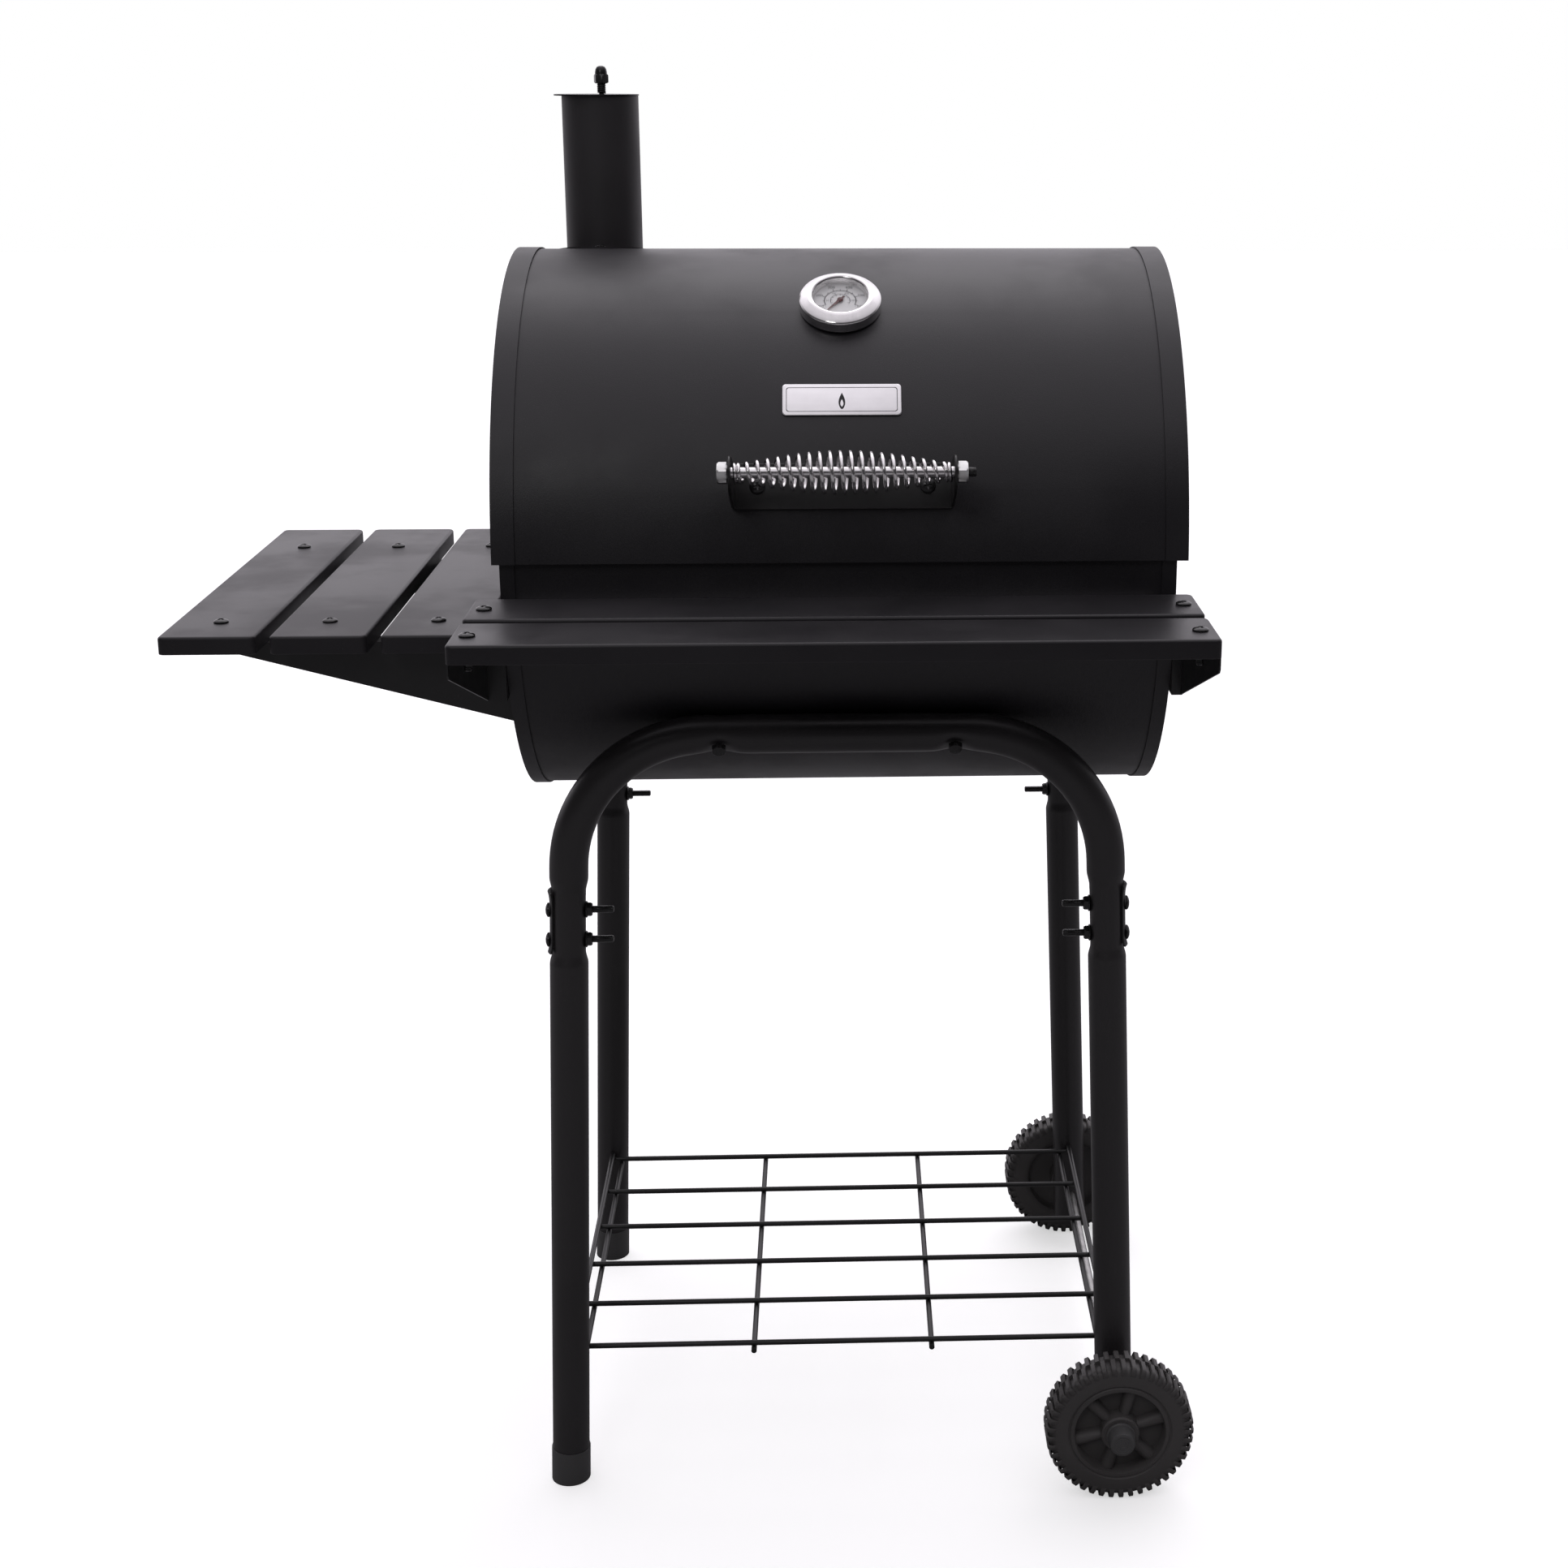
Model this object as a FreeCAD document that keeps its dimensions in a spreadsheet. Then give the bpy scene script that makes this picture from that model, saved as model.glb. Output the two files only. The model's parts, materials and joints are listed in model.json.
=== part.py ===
import FreeCAD, Part
import math
import os
import re

import Sketcher

# A barrel charcoal grill.  X runs to the grill's right hand side as its user faces it, Y runs from
# the user towards the back, Z is up.  Sizes are millimetres and angles are degrees.  The grill is
# laid out about the middle of its four legs, and every sub-part is then moved by one common
# placement, so that the origin is on the floor under the middle of the whole grill's box.

SIZES = {
    # sheet metal and fasteners
    "sheet": 1.2,
    "plate": 2.0,
    "gap": 0.3,
    "bolt_radius": 3.1,
    "bolt_hole": 3.3,
    "head_radius": 6.2,
    "head_height": 3.4,
    "nut_radius": 6.3,
    "nut_height": 5.2,
    "small_bolt_radius": 2.4,
    "small_bolt_hole": 2.6,
    "small_head_radius": 4.6,
    "small_head_height": 2.8,
    # barrel: tub and lid
    "barrel_x": 5.0,
    "tub_x": 3.5,
    "axis_z": 815.0,
    "tub_radius": 226.0,
    "tub_half_length": 264.5,
    "tub_rim_height": 23.0,
    "tub_cap_skirt": 11.5,
    "lid_radius": 233.0,
    "lid_half_length": 271.0,
    "lid_edge_height": 10.0,
    "lid_cap_skirt": 18.0,
    # lid hinges
    "hinge_y": 246.0,
    "hinge_z": 826.0,
    "hinge_x": 150.0,
    "hinge_pin_radius": 3.0,
    "hinge_pin_hole": 3.06,
    "knuckle_radius": 5.5,
    "knuckle_length": 20.0,
    "ear_gap": 0.3,
    "ear_thickness": 3.0,
    "lid_leaf_width": 44.0,
    "lid_leaf_top": 46.0,
    "leaf_thickness": 2.4,
    "pin_spare": 3.0,
    "pin_head": 2.0,
    # chimney and its damper
    "chimney_x": -200.3,
    "chimney_y": 80.0,
    "chimney_radius": 33.0,
    "chimney_top_z": 1172.8,
    "chimney_blank_rise": 150.0,
    "flange_blank": 120.0,
    "flange_radius": 48.0,
    "flange_bolt_circle": 41.0,
    "tab_reach": 16.0,
    "damper_radius": 36.5,
    "damper_x": -203.4,
    "damper_y": 80.5,
    "damper_screw_x": -196.5,
    "damper_screw_y": 56.5,
    "damper_screw_radius": 2.4,
    "damper_screw_hole": 2.47,
    "tab_depth": 8.0,
    "tab_half_width": 8.0,
    "spring_wire_radius": 0.55,
    "spring_coil_radius": 3.2,
    "spring_bottom_z": 1174.8,
    "spring_length": 9.8,
    "spring_turns": 5.0,
    "acorn_radius": 5.4,
    "acorn_height": 8.5,
    "grill_top_z": 1198.0,
    # thermometer, seen along its own axis from the lid outwards
    "gauge_x": 5.5,
    "gauge_tilt": 32.5,
    "gauge_radius": 33.0,
    "gauge_skirt": 9.0,
    "gauge_bevel": 4.5,
    "gauge_face_radius": 27.0,
    "gauge_glass_radius": 21.6,
    "gauge_stem_radius": 4.0,
    "gauge_stem_hole": 4.4,
    "gauge_stem_length": 55.0,
    "gauge_nut_radius": 9.0,
    "gauge_dial_height": 6.5,
    "gauge_lens_height": 10.6,
    "gauge_lens_thickness": 1.6,
    "pointer_pin_radius": 1.2,
    "pointer_length": 15.0,
    "pointer_tail": 5.0,
    "pointer_width": 2.0,
    # nameplate
    "badge_x": 6.0,
    "badge_tilt": 55.8,
    "badge_width": 93.0,
    "badge_height": 27.0,
    "badge_corner": 3.0,
    # handle
    "handle_x": 6.0,
    "handle_half_width": 86.0,
    "handle_bolt_spacing": 132.0,
    "handle_tilt": 73.0,
    "handle_plate_height": 36.0,
    "rod_y": -275.0,
    "rod_z": 903.0,
    "rod_radius": 4.4,
    "rod_hole": 4.5,
    "rod_nut_radius": 9.0,
    "rod_nut_length": 8.5,
    "rod_tip": 7.0,
    "coil_wire_radius": 1.4,
    "coil_end_radius": 6.2,
    "coil_middle_radius": 15.2,
    "coil_turns": 24.0,
    # leg frames
    "tube_radius": 15.9,
    "tube_wall": 1.4,
    "leg_y": 199.5,
    "leg_x": 219.0,
    "leg_x_height": 600.0,
    "leg_splay": 2.0,
    "bend_radius": 115.0,
    "seam_x": -18.7,
    "spigot_length": 38.0,
    "neck_radius": 12.5,
    "sleeve_radius": 13.8,
    "neck_top_z": 552.0,
    "neck_taper": 7.0,
    "sleeve_top_z": 544.5,
    "neck_bottom_z": 490.0,
    "sleeve_bottom_z": 484.0,
    "joint_bolt_top_z": 529.0,
    "joint_bolt_low_z": 503.0,
    "joint_bolt_reach": 23.0,
    "joint_plate_low_z": 493.0,
    "joint_plate_height": 54.0,
    "frame_bolt_x": 95.0,
    "long_leg_bottom_z": 3.0,
    "short_leg_bottom_z": 37.0,
    "foot_radius": 16.8,
    "foot_height": 30.4,
    # axle and wheels
    "axle_x": 237.5,
    "axle_radius": 5.0,
    "axle_hole": 5.1,
    "axle_half_length": 266.0,
    "wheel_radius": 63.9,
    "wheel_bore": 5.06,
    "wheel_y": 238.6,
    "wheel_tread_width": 31.0,
    "wheel_rim_radius": 41.0,
    "wheel_web": 7.0,
    "wheel_spokes": 6,
    "wheel_spoke_radius": 5.0,
    "hub_radius": 16.5,
    "hub_length": 34.0,
    "axle_cap_radius": 12.4,
    "axle_cap_tip_radius": 10.8,
    "axle_cap_length": 16.0,
    # wire shelf
    "wire_radius": 2.4,
    "wire_z": 116.1,
    "wire_half_length": 237.5,
    "wire_cross_x": 78.0,
    "wire_side_x": 234.4,
    "wire_brace_x": 226.0,
    "wire_count": 6,
    "wire_cross_half": 187.0,
    "wire_side_half": 194.0,
    # front shelf
    "front_slat_half_length": 277.0,
    "front_slat_width": 70.5,
    "front_slat_height": 14.4,
    "front_slat_gap": 10.3,
    "front_slat_y": -400.8,
    "front_slat_z": 802.0,
    "front_bolt_x": 265.0,
    "front_bolt_outer_y": -372.0,
    "front_bolt_inner_y": -287.0,
    "front_bracket_x": 277.0,
    "front_bracket_front_y": -395.0,
    "front_bracket_jog_y": -215.0,
    "front_bracket_root": 76.0,
    "front_bracket_flange": 26.0,
    "fold_radius": 2.2,
    # side shelf
    "side_slat_width": 76.1,
    "side_slat_length": 443.0,
    "side_slat_height": 14.4,
    "side_slat_gap": 10.9,
    "side_slat_x": -533.5,
    "side_slat_y": -211.0,
    "side_slat_z": 764.0,
    "side_bracket_y": 152.5,
    "side_bracket_middle_y": -7.5,
    "side_bracket_tip_x": -497.0,
    "side_bracket_tip_height": 5.5,
    "side_bracket_root_z": 681.5,
    "side_bracket_flange": 20.0,
    # grates
    "ledge_z": 812.0,
    "ledge_width": 13.0,
    "ledge_half_length": 245.0,
    "grate_wire_radius": 2.5,
    "grate_bar_radius": 3.0,
    "grate_half_depth": 219.0,
    "grate_length": 249.0,
    "grate_split": 2.5,
    "grate_rods": 16,
    "fire_grate_z": 704.0,
    "fire_grate_half_length": 238.0,
    "fire_grate_half_depth": 191.0,
    "fire_grate_rods": 14,
    # where the front brackets are bolted to the tub's end caps
    "front_seat_bolt_y": -196.0,
    "seat_bolt_spacing": 50.0,
    "front_seat_end_y": -130.0,
    "seat_strip_height": 27.0,
    "bracket_nose": 9.0,
    "spigot_root": 12.0,
    # air damper on the right end of the tub
    "air_y": 0.0,
    "air_z": 690.0,
    "air_radius": 46.0,
    "air_hole_radius": 12.5,
    "air_hole_circle": 27.0,
    "air_tab_width": 14.0,
    "air_tab_drop": 14.0,
    "air_tab_lip": 12.0,
    "air_screw_reach": 16.0,
    # how far each bolt's shank runs below its head
    "chimney_bolt_reach": 14.0,
    "handle_bolt_reach": 16.0,
    "front_slat_bolt_reach": 26.0,
    "side_slat_bolt_reach": 24.0,
    "cap_bolt_reach": 13.0,
    "frame_bolt_spare": 14.0,
}

# Sizes that follow from the ones above.
SIZES["rail_z"] = SIZES["axis_z"] - math.sqrt(
    (SIZES["tub_radius"] + SIZES["gap"] + SIZES["tube_radius"]) ** 2 - SIZES["leg_y"] ** 2
)
SIZES["splay_slope"] = math.tan(math.radians(SIZES["leg_splay"]))
SIZES["bend_angle"] = 90 - SIZES["leg_splay"]
SIZES["bend_end_z"] = (
    SIZES["rail_z"]
    - SIZES["bend_radius"]
    + SIZES["bend_radius"] * math.sin(math.radians(SIZES["leg_splay"]))
)
SIZES["bend_x"] = (
    SIZES["leg_x"]
    + SIZES["splay_slope"] * (SIZES["leg_x_height"] - SIZES["bend_end_z"])
    - SIZES["bend_radius"] * math.cos(math.radians(SIZES["leg_splay"]))
)
SIZES["wire_lap"] = 1.9 * SIZES["wire_radius"]
SIZES["wire_outer_y"] = SIZES["leg_y"] - SIZES["tube_radius"] - SIZES["wire_radius"] - SIZES["gap"]
SIZES["grill_left_x"] = SIZES["side_slat_x"]
SIZES["grill_right_x"] = SIZES["axle_x"] + SIZES["wheel_radius"]
SIZES["grill_front_y"] = SIZES["front_slat_y"]
SIZES["grill_back_y"] = (
    SIZES["wheel_y"] + SIZES["hub_length"] / 2 + SIZES["gap"] + SIZES["axle_cap_length"]
)
SIZES["origin_x"] = -(SIZES["grill_left_x"] + SIZES["grill_right_x"]) / 2
SIZES["origin_y"] = -(SIZES["grill_front_y"] + SIZES["grill_back_y"]) / 2

ALONG_X = FreeCAD.Rotation(FreeCAD.Vector(0, 1, 0), 90)
ALONG_Y = FreeCAD.Rotation(FreeCAD.Vector(1, 0, 0), -90)
UPRIGHT = FreeCAD.Rotation()
LEFT = -1
RIGHT = 1
FRONT = -1
REAR = 1
PAST = 5.0  # how far a cutting tool runs past the faces that it cuts

doc = FreeCAD.newDocument("barrel_grill")
sheet = doc.addObject("Spreadsheet::Sheet", "Dims")
for row, (alias, amount) in enumerate(SIZES.items(), start=1):
    sheet.set(f"A{row}", alias)
    sheet.set(f"B{row}", str(amount))
    sheet.setAlias(f"B{row}", alias)
doc.recompute()

nodes = []


def ref(text):
    """The text of an expression, with each size's name pointed at its cell."""
    def pointed(word):
        return "Dims." + word.group() if word.group() in SIZES else word.group()

    return re.sub(r"[a-z_]+", pointed, str(text))


def bind(obj, **sizes):
    """Binds properties of obj to expressions over the sheet's cells."""
    for name, text in sizes.items():
        obj.setExpression(name, ref(text))
    return obj


def place(obj, x, y, z, turn=UPRIGHT):
    """Turns obj and binds its position to the sheet."""
    obj.Placement = FreeCAD.Placement(FreeCAD.Vector(), turn)
    for axis, text in (("x", x), ("y", y), ("z", z)):
        obj.setExpression(f"Placement.Base.{axis}", ref(text))
    return obj


def block(x, y, z, length, width, height):
    """A box from its lowest corner."""
    box = doc.addObject("Part::Box", "block")
    bind(box, Length=length, Width=width, Height=height)
    return place(box, x, y, z)


def bar(x, y, z, radius, length, turn=UPRIGHT):
    """A round bar from the middle of its first end, along the turned Z axis."""
    cylinder = doc.addObject("Part::Cylinder", "bar")
    bind(cylinder, Radius=radius, Height=length)
    return place(cylinder, x, y, z, turn)


def taper(x, y, z, radius, end_radius, length, turn=UPRIGHT):
    """A cone's frustum from the middle of its first end."""
    cone = doc.addObject("Part::Cone", "taper")
    bind(cone, Radius1=radius, Radius2=end_radius, Height=length)
    return place(cone, x, y, z, turn)


def cut(base, *tools):
    """Base with all tools taken away."""
    for tool in tools:
        result = doc.addObject("Part::Cut", "cut")
        result.Base = base
        result.Tool = tool
        base = result
    return base


def fuse(*shapes):
    result = doc.addObject("Part::MultiFuse", "fuse")
    result.Shapes = list(shapes)
    return result


def common(first, second):
    result = doc.addObject("Part::Common", "common")
    result.Base = first
    result.Tool = second
    return result


def group(*shapes):
    """Separate solids kept together, such as a set of bolts."""
    result = doc.addObject("Part::Compound", "group")
    result.Links = list(shapes)
    return result


def hexagon(x, y, z, radius, height, turn=UPRIGHT):
    """A six-sided prism, radius measured to its corners."""
    prism = doc.addObject("Part::Prism", "hexagon")
    prism.Polygon = 6
    bind(prism, Circumradius=radius, Height=height)
    return place(prism, x, y, z, turn)


def sketch_lines(sketch, points):
    """Closes straight lines round the points, each held by its two distances from the sketch's origin."""
    count = len(points)
    angles = [2 * math.pi * i / count for i in range(count)]
    circle = [FreeCAD.Vector(math.cos(angle), math.sin(angle), 0) for angle in angles]
    for i in range(count):
        sketch.addGeometry(Part.LineSegment(circle[i], circle[(i + 1) % count]), False)
    for i in range(count):
        sketch.addConstraint(Sketcher.Constraint("Coincident", i, 2, (i + 1) % count, 1))
    for i, (across, up) in enumerate(points):
        for kind, text, start in (("DistanceX", across, circle[i].x), ("DistanceY", up, circle[i].y)):
            index = sketch.addConstraint(Sketcher.Constraint(kind, -1, 1, i, 1, start))
            sketch.setExpression(f"Constraints[{index}]", ref(text))


def sheet_piece(points, turn, x, y, z, thickness, direction):
    """A flat outline made solid: a sketch in a turned plane, extruded by thickness along direction."""
    sketch = doc.addObject("Sketcher::SketchObject", "outline")
    sketch_lines(sketch, points)
    place(sketch, x, y, z, turn)
    solid = doc.addObject("Part::Extrusion", "sheet_piece")
    solid.Base = sketch
    solid.DirMode = "Custom"
    solid.Dir = direction
    solid.Solid = True
    bind(solid, LengthFwd=thickness)
    return solid


# Sketch planes: the outline's two axes are X and Z in one, and Y and Z in the other.
SEEN_FROM_FRONT = FreeCAD.Rotation(FreeCAD.Vector(1, 0, 0), 90)
SEEN_FROM_RIGHT = FreeCAD.Rotation(FreeCAD.Vector(1, 1, 1), 120)


def front_outline(points, y, thickness):
    """Points are (x, z); the piece runs from y towards the back by thickness."""
    return sheet_piece(points, SEEN_FROM_FRONT, 0, y, 0, thickness, FreeCAD.Vector(0, 1, 0))


def side_outline(points, x, thickness):
    """Points are (y, z); the piece runs from x towards the right by thickness."""
    return sheet_piece(points, SEEN_FROM_RIGHT, x, 0, 0, thickness, FreeCAD.Vector(1, 0, 0))


def dome(x, y, z, radius, height, turn=UPRIGHT):
    """A low domed head whose flat side is on the point: a cap of a sphere, set back into its own base."""
    sphere = doc.addObject("Part::Sphere", "dome")
    ball = f"(({radius}) * ({radius}) + ({height}) * ({height})) / (2 * ({height}))"
    bind(sphere, Radius=ball, Angle1=f"asin(1 - ({height}) / ({ball}))")
    sphere.Placement = FreeCAD.Placement(FreeCAD.Vector(), turn)
    out = turn.multVec(FreeCAD.Vector(0, 0, 1))
    for axis, text, part in (("x", x, out.x), ("y", y, out.y), ("z", z, out.z)):
        sphere.setExpression(f"Placement.Base.{axis}", ref(f"{text} - {part:.9f} * (({ball}) - ({height}))"))
    return sphere


def stepped(x, y, z, turn, step):
    """Position expressions for a point that lies step further along the turned Z axis."""
    out = turn.multVec(FreeCAD.Vector(0, 0, 1))
    return [f"{text} + {part:.9f} * ({step})" for text, part in ((x, out.x), (y, out.y), (z, out.z))]


def bolt(x, y, z, turn, reach, nut_at=None, small=False):
    """A dome-headed bolt.

    The head's flat side is at the point and the head stands along the turned Z axis; the shank
    runs the other way for reach, and a hexagon nut starts nut_at below the head.
    """
    size = "small_" if small else ""
    shank = bar(*stepped(x, y, z, turn, f"-({reach})"), f"{size}bolt_radius", f"{reach} + 0.5", turn)
    solids = [fuse(dome(x, y, z, f"{size}head_radius", f"{size}head_height", turn), shank)]
    if nut_at is not None:
        nut_radius = "small_head_radius" if small else "nut_radius"
        start = stepped(x, y, z, turn, f"-({nut_at}) - nut_height")
        hole = bar(*stepped(x, y, z, turn, f"-({nut_at}) - nut_height - 1"), f"{size}bolt_radius + 0.05",
                   "nut_height + 2", turn)
        solids.append(cut(hexagon(*start, nut_radius, "nut_height", turn), hole))
    return solids


def hole(x, y, z, turn, length, radius="bolt_hole"):
    """A drill that reaches length each way from the point."""
    return bar(*stepped(x, y, z, turn, f"-({length})"), radius, f"2 * ({length})", turn)


def node(name, obj):
    """Names a finished sub-part and gives it the placement that all of them share."""
    if obj.TypeId in ("Part::Cylinder", "Part::Box"):
        obj = group(obj)
    obj.Label = name
    for axis in ("x", "y"):
        obj.setExpression(f"Placement.Base.{axis}", ref(f"origin_{axis}"))
    nodes.append(obj)
    return obj


def feature(name, shape):
    """A finished sub-part whose shape comes from Part's own functions."""
    obj = doc.addObject("Part::Feature", name)
    obj.Shape = shape
    return node(name, obj)


def polar_turn(tilt):
    """Turns Z from upright towards the user by tilt degrees, in the plane across the barrel."""
    return FreeCAD.Rotation(FreeCAD.Vector(1, 0, 0), tilt)


def on_lid(tilt, height):
    """Y and Z expressions of the point at a tilt from upright and a height above the lid's skin."""
    return (
        f"-(lid_radius + {height}) * sin({tilt})",
        f"axis_z + (lid_radius + {height}) * cos({tilt})",
    )


# ---------------------------------------------------------------- tub

END_PLAY = 0.2
LONG_DRILL = "30"  # through a leg tube or a slat and what is under it
DRILL = "12"  # through one or two sheets
SHORT_DRILL = "8"  # through one sheet, clear of what is behind it
LEFTWARD = FreeCAD.Rotation(FreeCAD.Vector(0, 1, 0), -90)
TOWARDS_USER = FreeCAD.Rotation(FreeCAD.Vector(1, 0, 0), 90)


def trough(start_x, length, radius, extra_rim="0"):
    """A solid with the tub's end outline: half round below the axis, straight up to the rim."""
    round_part = bar(start_x, "0", "axis_z", radius, length, ALONG_X)
    below = block(start_x, f"-({radius})", f"axis_z - ({radius})", length, f"2 * ({radius})", radius)
    above = block(start_x, f"-({radius})", "axis_z", length, f"2 * ({radius})",
                  f"tub_rim_height + {extra_rim}")
    return fuse(common(round_part, below), above)


def frame_bolt_turn(end):
    """The way out of the barrel through a leg frame's rail."""
    across = SIZES["leg_y"]
    down = SIZES["axis_z"] - SIZES["rail_z"]
    return FreeCAD.Rotation(FreeCAD.Vector(0, 0, 1), FreeCAD.Vector(0, end * across, -down))


def frame_bolt_places():
    for end in (FRONT, REAR):
        for side in (LEFT, RIGHT):
            yield end, f"{side} * frame_bolt_x", f"{end} * leg_y", "rail_z", frame_bolt_turn(end)


def make_tub():
    half = f"(tub_half_length - sheet - {END_PLAY})"
    outside = trough(f"tub_x - {half}", f"2 * {half}", "tub_radius")
    inside = trough(f"tub_x - {half} - {PAST}", f"2 * {half} + 2 * {PAST}", "tub_radius - sheet", f"{PAST}")
    drills = [hole(x, y, z, turn, LONG_DRILL) for _, x, y, z, turn in frame_bolt_places()]
    node("tub_shell", cut(outside, inside, *drills))
    for side, name in ((LEFT, "left"), (RIGHT, "right")):
        start = "tub_x - tub_half_length" if side == LEFT else "tub_x + tub_half_length - tub_cap_skirt"
        hollow = "tub_x - tub_half_length + sheet" if side == LEFT else f"{start} - {PAST}"
        outside = trough(start, "tub_cap_skirt", f"tub_radius + {END_PLAY} + sheet")
        inside = trough(hollow, f"tub_cap_skirt - sheet + {PAST}", f"tub_radius + {END_PLAY}", f"{PAST}")
        face = f"tub_x + {side} * tub_half_length"
        drills = [hole(face, y, z, ALONG_X, SHORT_DRILL) for s, y, z in cap_bolt_places() if s == side]
        if side == RIGHT:
            drills.append(hole(face, "air_y", "air_z", ALONG_X, SHORT_DRILL, "small_bolt_hole"))
            drills.extend(air_holes(face, SHORT_DRILL))
        node(f"tub_end_cap_{name}", cut(outside, inside, *drills))


def air_holes(x, reach):
    """Three round air holes about the damper's screw, a third of a turn apart."""
    for angle in (90, 210, 330):
        yield hole(x, f"air_y + air_hole_circle * cos({angle})", f"air_z + air_hole_circle * sin({angle})",
                   ALONG_X, reach, "air_hole_radius")


def make_air_damper():
    """A round plate that turns on a screw and closes the tub's air holes."""
    face = "tub_x + tub_half_length + gap"
    plate = bar(face, "air_y", "air_z", "air_radius", "sheet", ALONG_X)
    tab_y, tab_z = "air_y - air_tab_width / 2", "air_z - air_radius - air_tab_drop"
    tab = block(face, tab_y, tab_z, "sheet", "air_tab_width", "air_tab_drop + 6")
    grip = block(face, tab_y, tab_z, "air_tab_lip", "air_tab_width", "sheet")
    screw_hole = hole(face, "air_y", "air_z", ALONG_X, SHORT_DRILL, "small_bolt_radius + 0.06")
    node("air_damper", cut(fuse(plate, tab, grip), screw_hole, *air_holes(face, SHORT_DRILL)))
    head = "tub_x + tub_half_length + 2 * gap + sheet"
    screw = bolt(head, "air_y", "air_z", ALONG_X, "air_screw_reach", "6", small=True)
    node("air_damper_screw", group(*screw))


def make_ledges():
    """Two angle strips along the tub's long walls, which the cooking grates lie on."""
    strips = []
    wall = "tub_radius - sheet - 0.1"
    for end in (FRONT, REAR):
        low_y = f"-({wall})" if end == FRONT else f"{wall} - ledge_width"
        wall_y = f"-({wall})" if end == FRONT else f"{wall} - sheet"
        web_y = low_y if end == FRONT else f"{wall} - 2 * sheet"
        shelf = block("tub_x - ledge_half_length", low_y, "ledge_z - sheet", "2 * ledge_half_length",
                      "ledge_width", "sheet")
        back = block("tub_x - ledge_half_length", wall_y, "axis_z", "2 * ledge_half_length", "sheet", "8")
        web = block("tub_x - ledge_half_length", web_y, "ledge_z - sheet", "2 * ledge_half_length",
                    "2 * sheet", "axis_z - ledge_z + 2 * sheet")
        strips.append(fuse(shelf, back, web))
    node("grate_ledges", group(*strips))


# ---------------------------------------------------------------- grates


WELD = 0.4  # how far two welded rods sink into each other
GRATE_BAR_PART = 0.86  # where the outer cross bars lie, as a part of a grate's half depth
FIRE_BAR_PARTS = (-0.94, -0.32, 0.32, 0.94)
FIRE_ROD_INSET = 10


def make_cooking_grates():
    """Rods from front to back, welded on top of three cross bars and two end bars."""
    for side, name in ((LEFT, "left"), (RIGHT, "right")):
        start = "tub_x - grate_split - grate_length" if side == LEFT else "tub_x + grate_split"
        rod_z = f"ledge_z + {END_PLAY} + grate_wire_radius"
        pitch = "(grate_length - 2 * grate_bar_radius) / (grate_rods - 1)"
        shapes = []
        for i in range(int(SIZES["grate_rods"])):
            shapes.append(bar(f"{start} + grate_bar_radius + {i} * {pitch}", "-grate_half_depth", rod_z,
                              "grate_wire_radius", "2 * grate_half_depth", ALONG_Y))
        for part in (-GRATE_BAR_PART, 0, GRATE_BAR_PART):
            shapes.append(bar(start, f"{part} * grate_half_depth",
                              f"{rod_z} - grate_wire_radius - grate_bar_radius + {WELD}",
                              "grate_bar_radius", "grate_length", ALONG_X))
        for y in ("-grate_half_depth + grate_wire_radius", "grate_half_depth - grate_wire_radius"):
            shapes.append(bar(start, y, rod_z, "grate_wire_radius", "grate_length", ALONG_X))
        node(f"cooking_grate_{name}", fuse(*shapes))


def make_fire_grate():
    """Rods along the barrel on four cross bars, whose ends rest on the tub's curved wall."""
    shapes = []
    pitch = f"2 * (fire_grate_half_depth - {FIRE_ROD_INSET}) / (fire_grate_rods - 1)"
    for i in range(int(SIZES["fire_grate_rods"])):
        shapes.append(bar("tub_x - fire_grate_half_length",
                          f"-fire_grate_half_depth + {FIRE_ROD_INSET} + {i} * {pitch}",
                          f"fire_grate_z + grate_bar_radius + grate_wire_radius - {WELD}",
                          "grate_wire_radius", "2 * fire_grate_half_length", ALONG_X))
    for part in FIRE_BAR_PARTS:
        shapes.append(bar(f"tub_x + {part} * fire_grate_half_length", "-fire_grate_half_depth",
                          "fire_grate_z", "grate_bar_radius", "2 * fire_grate_half_depth", ALONG_Y))
    node("fire_grate", fuse(*shapes))


# ---------------------------------------------------------------- lid


def above_lid_edge(solid):
    """Keeps what is above the lid's lower edge."""
    keep = block("barrel_x - lid_half_length - 20", "-lid_radius - 20", "axis_z + lid_edge_height",
                 "2 * lid_half_length + 40", "2 * lid_radius + 40", "lid_radius + 20")
    return common(solid, keep)


def lid_ring(start_x, length, outer, inner):
    outside = bar(start_x, "0", "axis_z", outer, length, ALONG_X)
    inside = bar(f"{start_x} - {PAST}", "0", "axis_z", inner, f"{length} + 2 * {PAST}", ALONG_X)
    return cut(outside, inside)


def handle_bolt_places():
    y, z = on_lid("handle_tilt", "gap + plate")
    for side in (LEFT, RIGHT):
        yield f"handle_x + {side} * handle_bolt_spacing / 2", y, z, polar_turn(SIZES["handle_tilt"])


def chimney_bolt_places():
    """Four bolts round the chimney's foot, each square to the lid's curve."""
    for along, across in ((0, -1), (1, 0), (0, 1), (-1, 0)):
        x = f"chimney_x + {along} * flange_bolt_circle"
        y = SIZES["chimney_y"] + across * SIZES["flange_bolt_circle"]
        lean = -math.degrees(math.asin(y / SIZES["lid_radius"]))
        seat_y, seat_z = on_lid(f"{lean:.6f}", "0.3 + plate")
        yield x, seat_y, seat_z, polar_turn(lean)


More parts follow.
